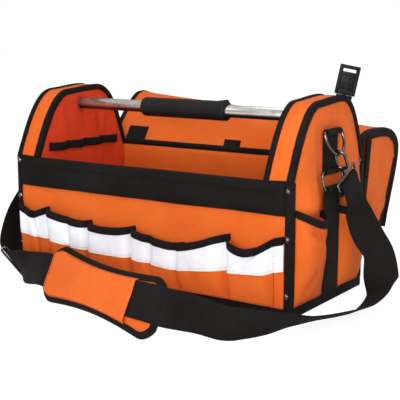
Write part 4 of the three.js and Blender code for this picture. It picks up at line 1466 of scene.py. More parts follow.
        def off(vert: bmesh.types.BMVert) -> Vector:
            """A vertex's offset from the hole's centre."""
            return Vector((vert.co.y, vert.co.z)) - centre

        inside = [vert for vert in bm.verts if off(vert).length < radius * 1.15]
        bmesh.ops.delete(bm, geom=inside, context="VERTS")
        rim = {vert for edge in bm.edges if edge.is_boundary for vert in edge.verts}
        for vert in rim:
            if off(vert).length < radius * 2:
                place = centre + off(vert).normalized() * radius
                vert.co.y, vert.co.z = place

    def add_bindings(self, maker: Maker, stitching: Stitching) -> None:
        """The two folded tapes along the arched edges."""
        leg, t = self.binding_leg, self.binding_thickness
        bead = (
            (t - 0.0007, -leg), (t, -leg + 0.0012), (t + 0.0003, -leg * 0.5), (t + 0.0002, 0.0),
            (t - 0.0003, t * 0.7), (t * 0.5, t), (-leg * 0.3, t + 0.0003), (-leg * 0.7, t + 0.0002),
            (-leg + 0.0008, t), (-leg, t - 0.0009), (-leg, SEAM), (SEAM, SEAM), (SEAM, -leg),
        )
        frames = self.outline(90)
        for name, face, turn in (("outer", HALF_LENGTH, 1), ("inner", INNER_FACE, -1)):
            rings = []
            sewn = []
            for i, (origin, a, b) in enumerate(frames):
                flat = ease(0, 8, min(i, len(frames) - 1 - i))
                stretch = 1 + flat * self.binding_wave.at(i, shift=face)
                rings.append([self.mirrored(origin + a * p * stretch + b * (face + turn * q * stretch))
                              for p, q in bead])
                sewn.append(self.mirrored(origin - a * (leg - 0.0014) + b * (face + turn * (t + 0.0002))))
            label = f"{name}_{self.side.label}"
            maker.add(f"edge_binding_{label}", loft(rings), Slot.WEBBING, [f"end_binding_{label}"])
            stitching.row(sewn, X_AXIS * self.side.value * turn)

    def add_pocket(self, maker: Maker, stitching: Stitching) -> None:
        """The pocket across the end, drawn in under the webbing."""
        row = PocketRow(self.slots, self.pocket_creases)

        def put(along: float, out: float, z: float) -> Vector:
            """A place off this end."""
            return self.mirrored(Vector((HALF_LENGTH + out, along, z)))

        label = self.side.label
        out = X_AXIS * self.side.value
        bm = row.cloth(0, len(self.slots) - 1, put, out)
        maker.add(f"side_pocket_cloth_{label}", bm, Slot.CLOTH, [f"end_pocket_{label}"], POCKET_CLOTH)
        binding = row.binding(put)
        maker.add(f"side_pocket_binding_{label}", binding, Slot.WEBBING, [f"end_pocket_binding_{label}"])
        stitching.row(row.mouth_line(put), out)

    def add_webbing(self, maker: Maker, stitching: Stitching) -> None:
        """The sewn patch that holds the rings, and the webbing that runs down from the lower ring."""
        label = self.side.label
        face = self.sewn_face
        d_loop = self.d_wire + self.loop_gap
        ring_loop = self.ring_wire + self.loop_gap
        upper = arc((face + d_loop, self.d_height), d_loop, -math.pi / 3, math.pi, 20)
        lower = arc((face + ring_loop, self.ring_top), ring_loop, math.pi, math.pi * 2.3, 20)
        middle = [Vector((face, lerp(self.d_height, self.ring_top, k / 12))) for k in range(1, 12)]
        line = [*upper, *middle, *lower]
        self.add_strip(maker, f"ring_patch_{label}", f"end_patch_{label}", line, self.patch_width)

        x, z = self.ring_bottom
        foot = [Vector((x - ring_loop, lerp(RING_FOOT, z, k / 24))) for k in range(24)]
        line = [*foot, *arc((x, z), ring_loop, math.pi, -math.pi / 3, 20)]
        self.add_strip(maker, f"ring_webbing_{label}", f"end_webbing_{label}", line, self.webbing_width)

        half = self.patch_width / 2 - 0.004
        sewn = face + self.webbing_thickness / 2 + 0.0001
        out = X_AXIS * self.side.value
        top, bottom = self.patch_sewn
        corners = ((-half, top), (half, top), (half, bottom), (-half, bottom), (-half, top), (half, bottom))
        for (y0, z0), (y1, z1) in zip(corners, corners[1:]):
            stitching.row([self.mirrored(Vector((sewn, y0, z0))), self.mirrored(Vector((sewn, y1, z1)))], out)

    def add_strip(self, maker: Maker, name: str, node: str, line: Line, width: float) -> None:
        """Webbing that follows a line drawn in X and Z."""
        frames = planar_frames(line, Vector(), X_AXIS, Z_AXIS, False)
        mirrored = [(self.mirrored(o), self.mirrored(a), b) for o, a, b in frames]
        section = flat_section(width, self.webbing_thickness)
        maker.add(name, sweep(mirrored, section), Slot.WEBBING, [node])

    @property
    def sewn_face(self) -> float:
        """X of the middle of webbing that lies on the right end's outer panel."""
        return HALF_LENGTH + SEAM + self.webbing_thickness / 2

    def ring_line(self) -> tuple[Vector, Vector]:
        """The top of the D-ring on the right end, and the direction up along the ring."""
        top = Vector((self.sewn_face + self.d_wire + self.loop_gap, 0, self.d_height))
        return top, Vector((-math.sin(self.d_lean), 0, math.cos(self.d_lean)))

    def hook(self) -> "SnapHook":
        """The snap hook that hangs in the D-ring."""
        top, up = self.ring_line()
        return SnapHook(self.side, self.mirrored(top - up * self.d_drop), self.d_wire)

    def add_rings(self, maker: Maker) -> None:
        """The rectangular ring and the D-ring."""
        label = self.side.label
        low = Vector((self.ring_bottom[0], 0, self.ring_bottom[1]))
        rise = Vector((self.sewn_face + self.ring_wire + self.loop_gap, 0, self.ring_top)) - low
        self.add_wire(maker, f"loop_ring_{label}", f"side_ring_{label}",
                      rectangle(self.ring_half, rise.length, 0.004), low, rise.normalized(), self.ring_wire)
        top, up = self.ring_line()
        corner = 0.003
        line = [
            *arc((self.d_half - corner, -corner), corner, math.pi / 2, 0, 6),
            *arc((0, self.d_half - self.d_drop), self.d_half, 0, -math.pi, 36),
            *arc((corner - self.d_half, -corner), corner, math.pi, math.pi / 2, 6),
        ]
        self.add_wire(maker, f"d_ring_wire_{label}", f"d_ring_{label}", line, top, up, self.d_wire)

    def add_wire(
        self, maker: Maker, name: str, node: str, line: Line, origin: Vector, up: Vector,
        radius: float,
    ) -> None:
        """A closed wire ring drawn in the plane of Y and another direction."""
        frames = planar_frames(ring_points(line, 72), origin, Y_AXIS, up, True)
        mirrored = [(self.mirrored(o), self.mirrored(a), self.mirrored(b)) for o, a, b in frames]
        maker.add(name, sweep(mirrored, circle_section(radius), True), Slot.METAL, [node])


def rectangle(half: float, height: float, radius: float) -> list[Vector]:
    """A rounded rectangle that stands on the first direction, as points of its line."""
    quarter = math.pi / 2
    return [
        *arc((half - radius, radius), radius, -quarter, 0, 6),
        *arc((half - radius, height - radius), radius, 0, quarter, 6),
        *arc((radius - half, height - radius), radius, quarter, 2 * quarter, 6),
        *arc((radius - half, radius), radius, 2 * quarter, 3 * quarter, 6),
    ]


@dataclass
class SnapHook:
    """A swivel snap hook in its own frame: the ring's wire at the origin, crown up, strap eye below."""

    side: Side
    hang: Vector
    ring_wire: float
    pull: Triple = (0.1, 0.45, -0.89)
    wire: float = 0.0024
    crown: float = 0.008
    clearance: float = 0.0007
    tip_drop: float = 0.005
    shank: float = 0.013
    length: float = 0.027
    gate_length: float = 0.011
    gate_radius: float = 0.0018
    gate_chamfer: float = 0.0004
    barrel_drop: float = 0.0055
    barrel: Section = (
        (0, 0), (0.0036, 0), (0.0042, 0.0008), (0.0042, 0.0032), (0.0035, 0.0038), (0.0035, 0.0046),
        (0.0042, 0.0052), (0.0042, 0.0082), (0.0030, 0.009), (0, 0.009),
    )
    eye_drop: float = 0.018
    eye_rise: float = 0.012
    eye_corner: float = 0.003
    eye_half: float = 0.030
    eye_wire: float = 0.002

    def place(self) -> Matrix:
        """Where the hook's own frame lies."""
        x, y, z = self.pull
        way = Vector((self.side.value * x, self.side.value * y, z)).normalized()
        turn = (-Z_AXIS).rotation_difference(way)
        face = Quaternion(Z_AXIS, 0 if self.side is Side.RIGHT else math.pi)
        return Matrix.Translation(self.hang) @ (turn @ face).to_matrix().to_4x4()

    @property
    def eye_height(self) -> float:
        """Height of the eye's lower bar."""
        return -self.length - self.eye_drop

    def build(self, maker: Maker) -> None:
        """Makes the hook and its gate."""
        place = self.place()
        rise = self.clearance + self.ring_wire + self.wire - self.crown
        line = [
            Vector((-self.crown, rise - self.tip_drop)),
            *arc((0, rise), self.crown, math.pi, 0, 20),
            *arc((0, rise - self.shank), self.crown, 0, -math.pi * 0.79, 18),
        ]
        frames = planar_frames(spaced(line, 56), Vector(), X_AXIS, Z_AXIS, False)
        bow = sweep(frames, circle_section(self.wire))
        base = -self.length - self.barrel_drop
        barrel = lathe([(radius, base + height) for radius, height in self.barrel])
        eye = ring_points(rectangle(self.eye_half, self.eye_rise, self.eye_corner), 64)
        frames = planar_frames(eye, Z_AXIS * self.eye_height, Y_AXIS, Z_AXIS, True)
        ring = sweep(frames, circle_section(self.eye_wire), True)
        body = moved(fused([bow, barrel, ring]), place)
        label = self.side.label
        maker.add(f"hook_body_{label}", body, Slot.METAL, [f"snap_hook_{label}"])

        pivot = rise - self.tip_drop - SEAM - self.gate_length
        r, top, chamfer = self.gate_radius, self.gate_length, self.gate_chamfer
        profile = [(r * math.cos(a), r * math.sin(a)) for a in (-math.pi / 2, -math.pi / 4, 0)]
        profile += [(r, top - chamfer), (r - chamfer, top), (0, top)]
        gate = moved(lathe(profile), place @ Matrix.Translation((-self.crown, 0, pivot)))
        maker.add(f"gate_bar_{label}", gate, Slot.METAL, [f"hook_gate_{label}"], body=f"gate_{label}")


@dataclass
class ToolLoops:
    """Webbing sewn to the lining of the left end in four loops."""

    loops: int = 4
    half_run: float = 0.086
    low: float = 0.198
    high: float = 0.211
    depth: float = 0.013
    thickness: float = 0.0016
    wave: Wave = Wave(0.0004, 0.1, 15.0)

    def build(self, maker: Maker, stitching: Stitching) -> None:
        """Makes the band and the stitches at its ends and between its loops."""
        face = -INNER_FACE + SEAM

        def place(u: float, v: float) -> Vector:
            """The band's outer face."""
            phase = (u * self.loops) % 1.0
            out = self.depth * max(math.sin(math.pi * phase), 0.0) ** 0.8
            x = face + self.thickness + out + self.wave.at(u, v)
            return Vector((x, lerp(-self.half_run, self.half_run, u), lerp(self.low, self.high, v)))

        bm = sheet(self.loops * 20, 4, place, (2 * self.half_run, self.high - self.low), X_AXIS)
        maker.add("tool_loops", bm, Slot.WEBBING, ["tool_loop_band"], self.thickness)
        for k in range(self.loops + 1):
            y = lerp(-self.half_run, self.half_run, k / self.loops)
            x = face + self.thickness + 0.0002
            stitching.row([Vector((x, y, self.low + 0.002)), Vector((x, y, self.high - 0.002))], X_AXIS)


@dataclass
class Handle:
    """Steel tube between the ends, with a split foam grip."""

    radius: float = 0.0095
    wall: float = 0.0015
    chamfer: float = 0.0004
    grip_radius: float = 0.015
    grip_half: float = 0.079
    grip_round: float = 0.003
    slit_half: float = 0.0009
    grip_wave: Wave = Wave(0.00025, 0.02, 17.0)
    corner_lift: float = 0.0028
    corner_run: float = 0.022

    def build(self, maker: Maker) -> None:
        """Makes the tube and the grip."""
        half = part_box("handle_tube")[1].x
        bore, cut = self.radius - self.wall, self.radius - self.chamfer
        profile = (
            (bore, -half), (cut, -half), (self.radius, self.chamfer - half),
            (self.radius, half - self.chamfer), (cut, half), (bore, half),
        )
        rings = []
        for radius, x in profile:
            rings.append([Vector((x, y, HANDLE_HEIGHT + z)) for y, z in circle_section(radius, 48)])
        maker.add("handle_steel", loft(rings, True), Slot.TUBE, ["handle_tube"])
        self.add_grip(maker)

    def add_grip(self, maker: Maker) -> None:
        """The grip: foam wrapped round the tube, its slit on top and one corner lifted at the right end."""
        bore = self.radius + SEAM
        rows = 64

        def section(share: float) -> list[Pair]:
            """Radius and angle round the wrap at a share of its length."""
            x = lerp(-self.grip_half, self.grip_half, share)
            edge = min(x + self.grip_half, self.grip_half - x)
            outer = self.grip_radius - self.grip_round * (1 - min(edge / self.grip_round, 1.0)) ** 2
            outer += self.grip_wave.at(x)
            open_angle = self.slit_half / self.grip_radius
            sides = 44
            angles = [lerp(math.pi / 2 + open_angle, math.pi / 2 + math.tau - open_angle, k / sides)
                      for k in range(sides + 1)]
            return [*((outer, a) for a in angles), *((bore, a) for a in reversed(angles))]

        rings = []
        for i in range(rows + 1):
            share = (1 - math.cos(math.pi * i / rows)) / 2
            x = lerp(-self.grip_half, self.grip_half, share)
            lift = self.corner_lift * ease(self.grip_half - self.corner_run, self.grip_half, x)
            ring = []
            for radius, angle in section(share):
                peel = lift * ease(0.8, 0.0, angle - math.pi / 2)
                y, z = math.cos(angle) * (radius + peel), math.sin(angle) * (radius + peel)
                ring.append(Vector((x + peel * 0.9, y, HANDLE_HEIGHT + z)))
            rings.append(ring)
        maker.add("handle_foam", loft(rings), Slot.GRIP, ["handle_grip"])


@dataclass(frozen=True)
class StrapRow:
    """One place of the strap's line and the direction across the webbing there."""

    at: Triple
    across: Triple


@dataclass
class ShoulderPad:
    """A waisted foam pad with a bound edge and a sleeve that the strap runs through."""

    half_length: float = 0.131
    half_width: float = 0.0395
    waist: float = 0.0105
    thickness: float = 0.009
    edge: float = 0.004
    bead: Section = (
        (-0.0030, -0.0033), (0.0, -0.0037), (0.0034, -0.0033), (0.0051, -0.0018), (0.0056, 0.0),
        (0.0052, 0.0020), (0.0036, 0.0039), (0.0, 0.0048), (-0.0030, 0.0047), (-0.0036, 0.0042),
        (-0.0034, 0.0024), (0.0002, 0.0020), (0.0004, 0.0), (0.0002, -0.0019), (-0.0034, -0.0021),
        (-0.0036, -0.0028),
    )
    bead_sewn: Pair = (0.0022, 0.0048)
    sleeve: Pair = (-0.96, 0.6)
    sleeve_edge: float = 0.95
    sleeve_cloth: float = 0.0016
    sleeve_half: float = 0.030
    sleeve_flat: float = 0.88
    sleeve_lift: Pair = (0.0023, 0.0056)
    foam_wave: Wave = Wave(0.0005, 0.02, 19.0)
    sleeve_waves: Sequence[Wave] = (Wave(0.0006, 0.03, 21.0), Wave(0.0006, 0.5, 22.0))
    yaw: float = -0.288
    tilt: float = 1.15
    centre: Triple = (0.030, -0.2463, 0.0393)
    arch: float = 0.003

    def directions(self) -> tuple[Vector, Vector, Vector]:
        """Along the pad, across it and out of its face."""
        along = Vector((math.cos(self.yaw), math.sin(self.yaw), 0))
        level = Vector((-math.sin(self.yaw), math.cos(self.yaw), 0))
        across = level * math.cos(self.tilt) + Z_AXIS * math.sin(self.tilt)
        return along, across, along.cross(across)

    def width_at(self, u: float) -> float:
        """Half the pad's width at a share of its half length."""
        corner = 1 - max(0.0, abs(u) - 0.82) ** 2 * 12
        return (self.half_width - self.waist * math.cos(u * math.pi / 2)) * corner

    def at(self, u: float, v: float, lift: float) -> Vector:
        """A place of the pad from shares along and across it and a height over its middle."""
        along, across, up = self.directions()
        rise = self.arch * math.cos(u * math.pi / 2) + lift
        return Vector(self.centre) + along * u * self.half_length + across * v * self.width_at(u) + up * rise

    def thick_at(self, u: float, v: float) -> float:
        """The foam's thickness."""
        return self.edge + (self.thickness - self.edge) * (1 - u**4) * (1 - v**4)

    def build(self, maker: Maker, stitching: Stitching) -> None:
        """Makes the pad, its binding and its sleeve."""
        columns, rows = 60, 16
        body = []
        for i in range(columns + 1):
            u = math.sin(lerp(-math.pi / 2, math.pi / 2, i / columns)) * 0.4 + lerp(-1, 1, i / columns) * 0.6
            across = [lerp(-1, 1, k / rows) for k in range(rows + 1)]
            wave = [self.foam_wave.at(u * 0.12, v * 0.03) for v in across]
            upper = [self.at(u, v, self.thick_at(u, v) / 2 + w * (1 - v * v)) for v, w in zip(across, wave)]
            lower = [self.at(u, v, -self.thick_at(u, v) / 2 - w * (1 - v * v)) for v, w in zip(across, wave)]
            body.append([*upper, *reversed(lower)])
        pad = maker.add("pad_foam", loft(body), Slot.CLOTH, ["shoulder_pad"])
        self.add_binding(maker, stitching)
        self.add_sleeve(maker, stitching)

    def add_binding(self, maker: Maker, stitching: Stitching) -> None:
        """The folded tape round the pad's edge."""
        _, _, up = self.directions()
        steps = 60
        edge = [self.at(lerp(-1, 1, i / steps), -1, 0) for i in range(steps + 1)]
        edge += [self.at(lerp(1, -1, i / steps), 1, 0) for i in range(steps + 1)]
        edge = ring_points(edge, 160)
        frames = []
        for i, origin in enumerate(edge):
            run = (edge[(i + 1) % len(edge)] - edge[i - 1]).normalized()
            frames.append((origin, run.cross(up).normalized(), up))
        maker.add("pad_edge_binding", sweep(frames, self.bead, True), Slot.WEBBING, ["pad_binding"])
        inward, rise = self.bead_sewn
        line = [origin - a * inward + b * rise for origin, a, b in frames]
        stitching.row([*line, line[0]], up)

    def add_sleeve(self, maker: Maker, stitching: Stitching) -> None:
        """The cloth sleeve over the strap, sewn along both of its long edges."""
        _, _, up = self.directions()

        def height(u: float, v: float) -> float:
            """The sleeve's outer face over the pad's middle."""
            over = ease(self.sleeve_edge, min(self.sleeve_half / self.width_at(u), self.sleeve_flat), abs(v))
            fine, broad = self.sleeve_waves
            wave = fine.at(u * self.half_length, v * 0.03) + broad.at(u, v)
            edge, middle = self.sleeve_lift
            low = self.thick_at(u, v) / 2 + edge
            return lerp(low, self.thickness / 2 + middle, over) + wave * over

        def place(u: float, v: float) -> Vector:
            """The sleeve's outer face."""
            across = lerp(-self.sleeve_edge, self.sleeve_edge, v)
            along = lerp(*self.sleeve, u)
            return self.at(along, across, height(along, across))

        length = (self.sleeve[1] - self.sleeve[0]) * self.half_length
        bm = sheet(48, 24, place, (length, 2 * self.half_width), up)
        maker.add("sleeve_cloth", bm, Slot.CLOTH, ["pad_sleeve"], self.sleeve_cloth)
        u = self.sleeve[0] + 0.03
        line = [self.at(u, v, height(u, v) + 0.0002) for v in (lerp(-0.9, 0.9, k / 12) for k in range(13))]
        stitching.row(line, up)


@dataclass
class ShoulderStrap:
    """The webbing from each hook eye to the pad, with its slider."""

    pad: ShoulderPad
    hooks: dict[Side, SnapHook]
    width: float = 0.050
    thickness: float = 0.0024
    loop_gap: float = 0.00045
    loop_tail: float = 0.013
    loop_run: float = 0.026
    pad_gap: float = 0.0008
    sewn_inset: float = 0.004
    slider_row: int = 4
    slider_wire: float = 0.0019
    slider_room: float = 0.006
    slider_margin: float = 0.004
    slider_corner: float = 0.003
    steps: int = 9
    pad_stations: dict[Side, Sequence[Pair]] = field(default_factory=lambda: {
        Side.RIGHT: ((1.09, 0.007), (0.92, 0.0065), (0.72, 0.005), (0.48, 0.003)),
        Side.LEFT: ((-1.12, 0.0), (-1.0, 0.0), (-0.9, 0.0), (-0.8, 0.0)),
    })
    rows: dict[Side, Sequence[StrapRow]] = field(default_factory=lambda: {
        Side.RIGHT: (
            StrapRow((0.282, 0.036, 0.130), (0.30, 0.87, 0.38)),
            StrapRow((0.298, 0.036, 0.098), (0.5, 0.78, 0.38)),
            StrapRow((0.316, 0.034, 0.074), (0.5, 0.82, 0.26)),
            StrapRow((0.3255, 0.022, 0.0505), (0.68, 0.66, 0.24)),
            StrapRow((0.334, -0.002, 0.029), (0.85, -0.3, 0.4)),
            StrapRow((0.331, -0.034, 0.015), (0.82, -0.34, 0.46)),
            StrapRow((0.323, -0.068, 0.013), (0.87, -0.24, 0.43)),
            StrapRow((0.306, -0.106, 0.013), (0.87, -0.29, 0.41)),
            StrapRow((0.290, -0.150, 0.015), (0.8, -0.35, 0.48)),
            StrapRow((0.275, -0.194, 0.0205), (0.52, -0.4, 0.74)),
            StrapRow((0.252, -0.232, 0.026), (0.25, -0.25, 0.93)),
            StrapRow((0.228, -0.246, 0.027), (0.12, -0.1, 0.98)),
            StrapRow((0.196, -0.257, 0.035), (0.1, 0.05, 0.99)),
        ),
        Side.LEFT: (
            StrapRow((-0.281, -0.046, 0.128), (-0.1, -0.84, 0.52)),
            StrapRow((-0.286, -0.082, 0.084), (-0.1, -0.78, 0.6)),
            StrapRow((-0.279, -0.105, 0.050), (-0.3, -0.6, 0.72)),
            StrapRow((-0.256, -0.136, 0.030), (-0.45, -0.3, 0.82)),
            StrapRow((-0.222, -0.160, 0.028), (-0.6, -0.3, 0.74)),
            StrapRow((-0.176, -0.180, 0.029), (0.05, 0.15, 0.98)),
        ),
    })

    def eye_rows(self, hook: SnapHook) -> list[tuple[Vector, Vector]]:
        """The sewn loop round the hook's eye, from its short tail over the bar."""
        turn = hook.place().to_3x3()
        across, outward, back = turn @ Y_AXIS, turn @ X_AXIS, turn @ Z_AXIS
        bar = hook.place() @ (Z_AXIS * hook.eye_height)
        radius = hook.eye_wire + self.loop_gap + self.thickness / 2
        angles = [math.pi * (1 - k / 6) for k in range(7)]
        flat = [(-radius, -self.loop_tail)]
        flat += [(radius * math.cos(a), radius * math.sin(a)) for a in angles]
        flat += [(radius, -self.loop_tail), (radius, -self.loop_run)]
        return [(bar + outward * x + back * z, across) for x, z in flat]

    def pad_rows(self, side: Side) -> list[tuple[Vector, Vector]]:
        """Where the webbing lies on the pad and runs in under the sleeve."""
        lift = self.pad.thickness / 2 + self.pad_gap + self.thickness / 2
        _, across, _ = self.pad.directions()
        return [(self.pad.at(u, 0, lift) + across * shift, across) for u, shift in self.pad_stations[side]]

    def build(self, maker: Maker, stitching: Stitching) -> None:
        """Makes both runs of the strap and the slider."""
        for side, rows in self.rows.items():
            loop = self.eye_rows(self.hooks[side])
            line = [*loop, *((Vector(row.at), Vector(row.across)) for row in rows), *self.pad_rows(side)]
            frames = self.frames(line)
            strap = sweep(frames, flat_section(self.width, self.thickness, 10))
            maker.add(f"strap_webbing_{side.label}", strap, Slot.WEBBING, [f"strap_{side.label}"])
            if side is Side.LEFT:
                self.add_slider(maker, frames[(len(loop) + self.slider_row) * self.steps])
            self.sew_eye(stitching, frames, len(loop) - 1)

    def frames(self, line: Sequence[tuple[Vector, Vector]]) -> list[Frame]:
        """Frames along the strap: its place, the direction out of its face and the direction across it."""
        centres = Curve(tuple(at for at, _ in line))
        acrosses = Curve(tuple(across for _, across in line))
        count = (len(line) - 1) * self.steps
        frames = []
        for i in range(count + 1):
            t = i / count
            run = centres.tangent(t)
            across = acrosses.at(t)
            across = (across - run * across.dot(run)).normalized()
            frames.append((centres.at(t), run.cross(across), across))
        return frames

    def sew_eye(self, stitching: Stitching, frames: Sequence[Frame], last: int) -> None:
        """Two rows across the webbing below the hook's eye, from the loop's last row on."""
        for k in (last * self.steps, int((last + 0.5) * self.steps)):
            origin, face, across = frames[k]
            for sign in (1, -1):
                lift = face * sign * (self.thickness / 2 + 0.0001)
                half = across * (self.width / 2 - self.sewn_inset)
                stitching.row([origin + lift - half, origin + lift + half], face * sign)

    def add_slider(self, maker: Maker, station: Frame) -> None:
        """The wire slider that sets the strap's length."""
        origin, face, across = station
        height = self.thickness + self.slider_room
        half = self.width / 2 + self.slider_margin
        ring = ring_points(rectangle(half, height, self.slider_corner), 64)
        frames = planar_frames(ring, origin - face * height / 2, across, face, True)
        slider = sweep(frames, circle_section(self.slider_wire), True)
        maker.add("slider_wire", slider, Slot.METAL, ["strap_slider"])


@dataclass
class Lid:
    """The lid thrown back behind the bag: its panel, bound edge, end flaps and closing patches."""

    half_width: float = 0.240
    thickness: float = 0.003
    binding: float = 0.007
    seam_leg: float = 0.009
    left: Sequence[Pair] = (
        (0.1172, 0.191), (0.150, 0.236), (0.200, 0.276), (0.240, 0.262), (0.258, 0.200), (0.250, 0.078))
    right: Sequence[Pair] = (
        (0.1172, 0.191), (0.127, 0.228), (0.180, 0.237), (0.238, 0.228), (0.261, 0.203), (0.219, 0.080))
    flap_lower: Sequence[Pair] = (
        (0.221, 0.112), (0.195, 0.079), (0.166, 0.062), (0.145, 0.071), (0.136, 0.112))
    flap_top: Pair = (0.308, 0.846)
    flap_gap: float = 0.0035
    flap_drop: float = 0.0016
    flap_rise: dict[Side, float] = field(default_factory=lambda: {Side.LEFT: 0.022, Side.RIGHT: 0.0})
    flap_flat: dict[Side, Pair] = field(
        default_factory=lambda: {Side.LEFT: (0.119, 0.188), Side.RIGHT: (0.121, 0.171)})
    creases: Sequence[Crease] = (
        Crease((-0.20, 0.22), (0.02, 0.30), 0.0035, 0.030),
        Crease((-0.02, 0.30), (0.20, 0.20), -0.0030, 0.035),
        Crease((0.08, 0.12), (0.22, 0.34), 0.0030, 0.025),
        Crease((-0.21, 0.45), (-0.05, 0.62), -0.0030, 0.030),
        Crease((0.02, 0.60), (0.20, 0.70), 0.0030, 0.040),
    )
    patches: Sequence[tuple[float, float, float, float]] = (
        (-0.214, -0.172, 0.024, 0.125), (-0.006, 0.026, 0.024, 0.085))
    cloth_wave: Wave = Wave(0.0016, 0.12, 25.0)
    flap_bead: Section = (
        (-0.007, 0.0021), (0.0015, 0.0026), (0.0042, 0.0020), (0.0054, 0.0), (0.0042, -0.0020),
        (0.0015, -0.0026), (-0.007, -0.0021), (-0.007, -0.0014), (0.0004, -0.0013), (0.0004, 0.0013),
        (-0.007, 0.0014),
    )
    flap_bound: Pair = (0.06, 0.985)
    flap_bow: float = 0.0030
    flap_wave: Wave = Wave(0.0022, 0.4, 27.0)
    patch_height: float = 0.02
    patch_lift: float = 0.0016
    patch_sink: Triple = (0, 0.0010, -0.0007)

    def section(self, u: float) -> Curve:
        """The lid's section at a share of its width."""
        pairs = zip(self.left, self.right)
        return Curve(tuple(Vector((0, lerp(a[0], b[0], u), lerp(a[1], b[1], u))) for a, b in pairs))

    def at(self, u: float, v: float, lift: float = 0.0) -> Vector:
        """A place of the lid's lining face, or off it."""
        curve = self.section(u)
        origin, run = curve.at(v), curve.tangent(v)
        x = lerp(-self.half_width, self.half_width, u)
        rim = ease(0.0, 0.06, v) * ease(1.0, 0.94, v) * ease(0.0, 0.05, u) * ease(1.0, 0.95, u)
        wave = folds(self.creases, x, v) + self.cloth_wave.at(x, v * 0.4)
        return Vector((x, origin.y, origin.z)) + Vector((0, -run.z, run.y)) * (lift + wave * rim)

    def build(self, maker: Maker, stitching: Stitching) -> None:
        """Makes the lid, its binding, flaps and patches."""
        middle = self.section(0.5)
        stops = [middle.at(k / 60) for k in range(61)]
        flat = (2 * self.half_width, sum((b - a).length for a, b in zip(stops, stops[1:])))
        bm = sheet(72, 84, self.at, flat, Z_AXIS)
        panel = maker.add("lid_cloth", bm, Slot.CLOTH, ["lid_panel"], self.thickness)
        self.add_binding(maker, stitching)
        for side in Side:
            self.add_flap(maker, side)
        self.add_patches(maker)

    def add_binding(self, maker: Maker, stitching: Stitching) -> None:
        """The folded tape along the lid's two sides and its hem."""
        stops = [(0.0, k / 60) for k in range(60)]
        stops += [(k / 60, 1.0) for k in range(61)]
        stops += [(1.0, 1 - k / 60) for k in range(1, 61)]
        frames = []
        for u, v in stops:
            run = self.section(u).tangent(v)
            aside = X_AXIS * ((u == 1.0) - (u == 0.0))
            hem = run * (v == 1.0)
            frames.append((self.at(u, v), aside + hem, Vector((0, -run.z, run.y))))
        low, high = -self.thickness - 0.0012, 0.0012
        wide = self.binding
        rings = []
        for (_, v), (origin, a, b) in zip(stops, frames):
            leg = low - self.seam_leg * ease(0.28, 0.33, v) * ease(0.86, 0.82, v)
            bead = (
                (-0.003, high), (0.001, high + 0.0002), (wide * 0.5, high), (wide * 0.9, high - 0.0006),
                (wide, -0.0006), (wide, -self.thickness + 0.0006), (wide * 0.92, leg + 0.0006),
                (wide * 0.66, leg), (wide * 0.62, low), (0.001, low - 0.0002), (-0.003, low),
                (-0.003, low + 0.0009), (0.0003, -self.thickness - 0.0003), (0.0003, 0.0003),
                (-0.003, high - 0.0009),
            )
            rings.append([origin + a * p + b * q for p, q in bead])
        maker.add("lid_edge_binding", loft(rings), Slot.WEBBING, ["lid_binding"])
        line = [origin + a * 0.0005 + b * (high + 0.0002) for origin, a, b in frames]
        stitching.row(line, [out for _, _, out in frames])

    def add_flap(self, maker: Maker, side: Side) -> None:
        """The flap that hangs from one end of the lid, with its bound lower edge."""
        u_lid = 0.0 if side is Side.LEFT else 1.0
        rise = self.flap_rise[side]
        lower = Curve(tuple(Vector((0, y, z + rise)) for y, z in reversed(self.flap_lower)))
        face = self.half_width + self.flap_gap

        def bow(u: float, v: float) -> float:
            """How far the flap stands out, loose at its lower edge."""
            wave = self.flap_wave.at(u, v, side.value)
            return (1 - v) * (self.flap_bow * math.sin(math.pi * u) + wave)

        def place(u: float, v: float) -> Vector:
            """The flap's outer face."""
            top = self.at(u_lid, lerp(*self.flap_top, u), -self.thickness - self.flap_drop)
            flat = lower.at(u).lerp(Vector((0, top.y, top.z)), v)
            return Vector((side.value * (face + bow(u, v)), flat.y, flat.z))

        label = side.label
        bm = sheet(48, 30, place, self.flap_flat[side], X_AXIS * side.value)
        area = sum(cell.calc_area() for cell in bm.faces)
        flap = maker.add(f"flap_cloth_{label}", bm, Slot.CLOTH, [f"lid_flap_{label}"], WALL)

        heights = [lerp(*self.flap_bound, k / 14) for k in range(15)]
        line = [place(0, v) for v in reversed(heights)]
        line += [place(k / 40, 0) for k in range(41)]
        line += [place(1, v) for v in heights]
        line = spaced(line, 90)
        frames = []
        for i, origin in enumerate(line):
            run = (line[min(i + 1, 90)] - line[max(i - 1, 0)]).normalized()
            frames.append((origin - X_AXIS * side.value * WALL / 2, run.cross(X_AXIS).normalized(), X_AXIS))
        binding = sweep(frames, self.flap_bead)
        maker.add(f"flap_edge_{label}", binding, Slot.WEBBING, [f"flap_binding_{label}"])

    def add_patches(self, maker: Maker) -> None:
        """The two closing patches sewn on the lid's lining face."""
        parts = []
        for x0, x1, v0, v1 in self.patches:
            def place(u: float, v: float) -> Vector:
                """A patch's outer face."""
                share = (lerp(x0, x1, u) / self.half_width + 1) / 2
                return self.at(share, lerp(v0, v1, v), self.patch_lift)

            bm = sheet(10, 8, place, (x1 - x0, self.patch_height), -Y_AXIS + Z_AXIS)
            grown = bmesh.ops.extrude_face_region(bm, geom=bm.faces[:])
            back = [part for part in grown["geom"] if isinstance(part, bmesh.types.BMVert)]
            bmesh.ops.translate(bm, vec=self.patch_sink, verts=back)
            bmesh.ops.recalc_face_normals(bm, faces=bm.faces[:])
            parts.append(bm)
        maker.add("closing_patches", fused(parts), Slot.WEBBING)


@dataclass(frozen=True)
class BuckleBar:
    """One bar of the buckle: its size, its place from the middle and its share of the full thickness."""

    width: float
    height: float
    x: float
    z: float
    share: float = 1.0


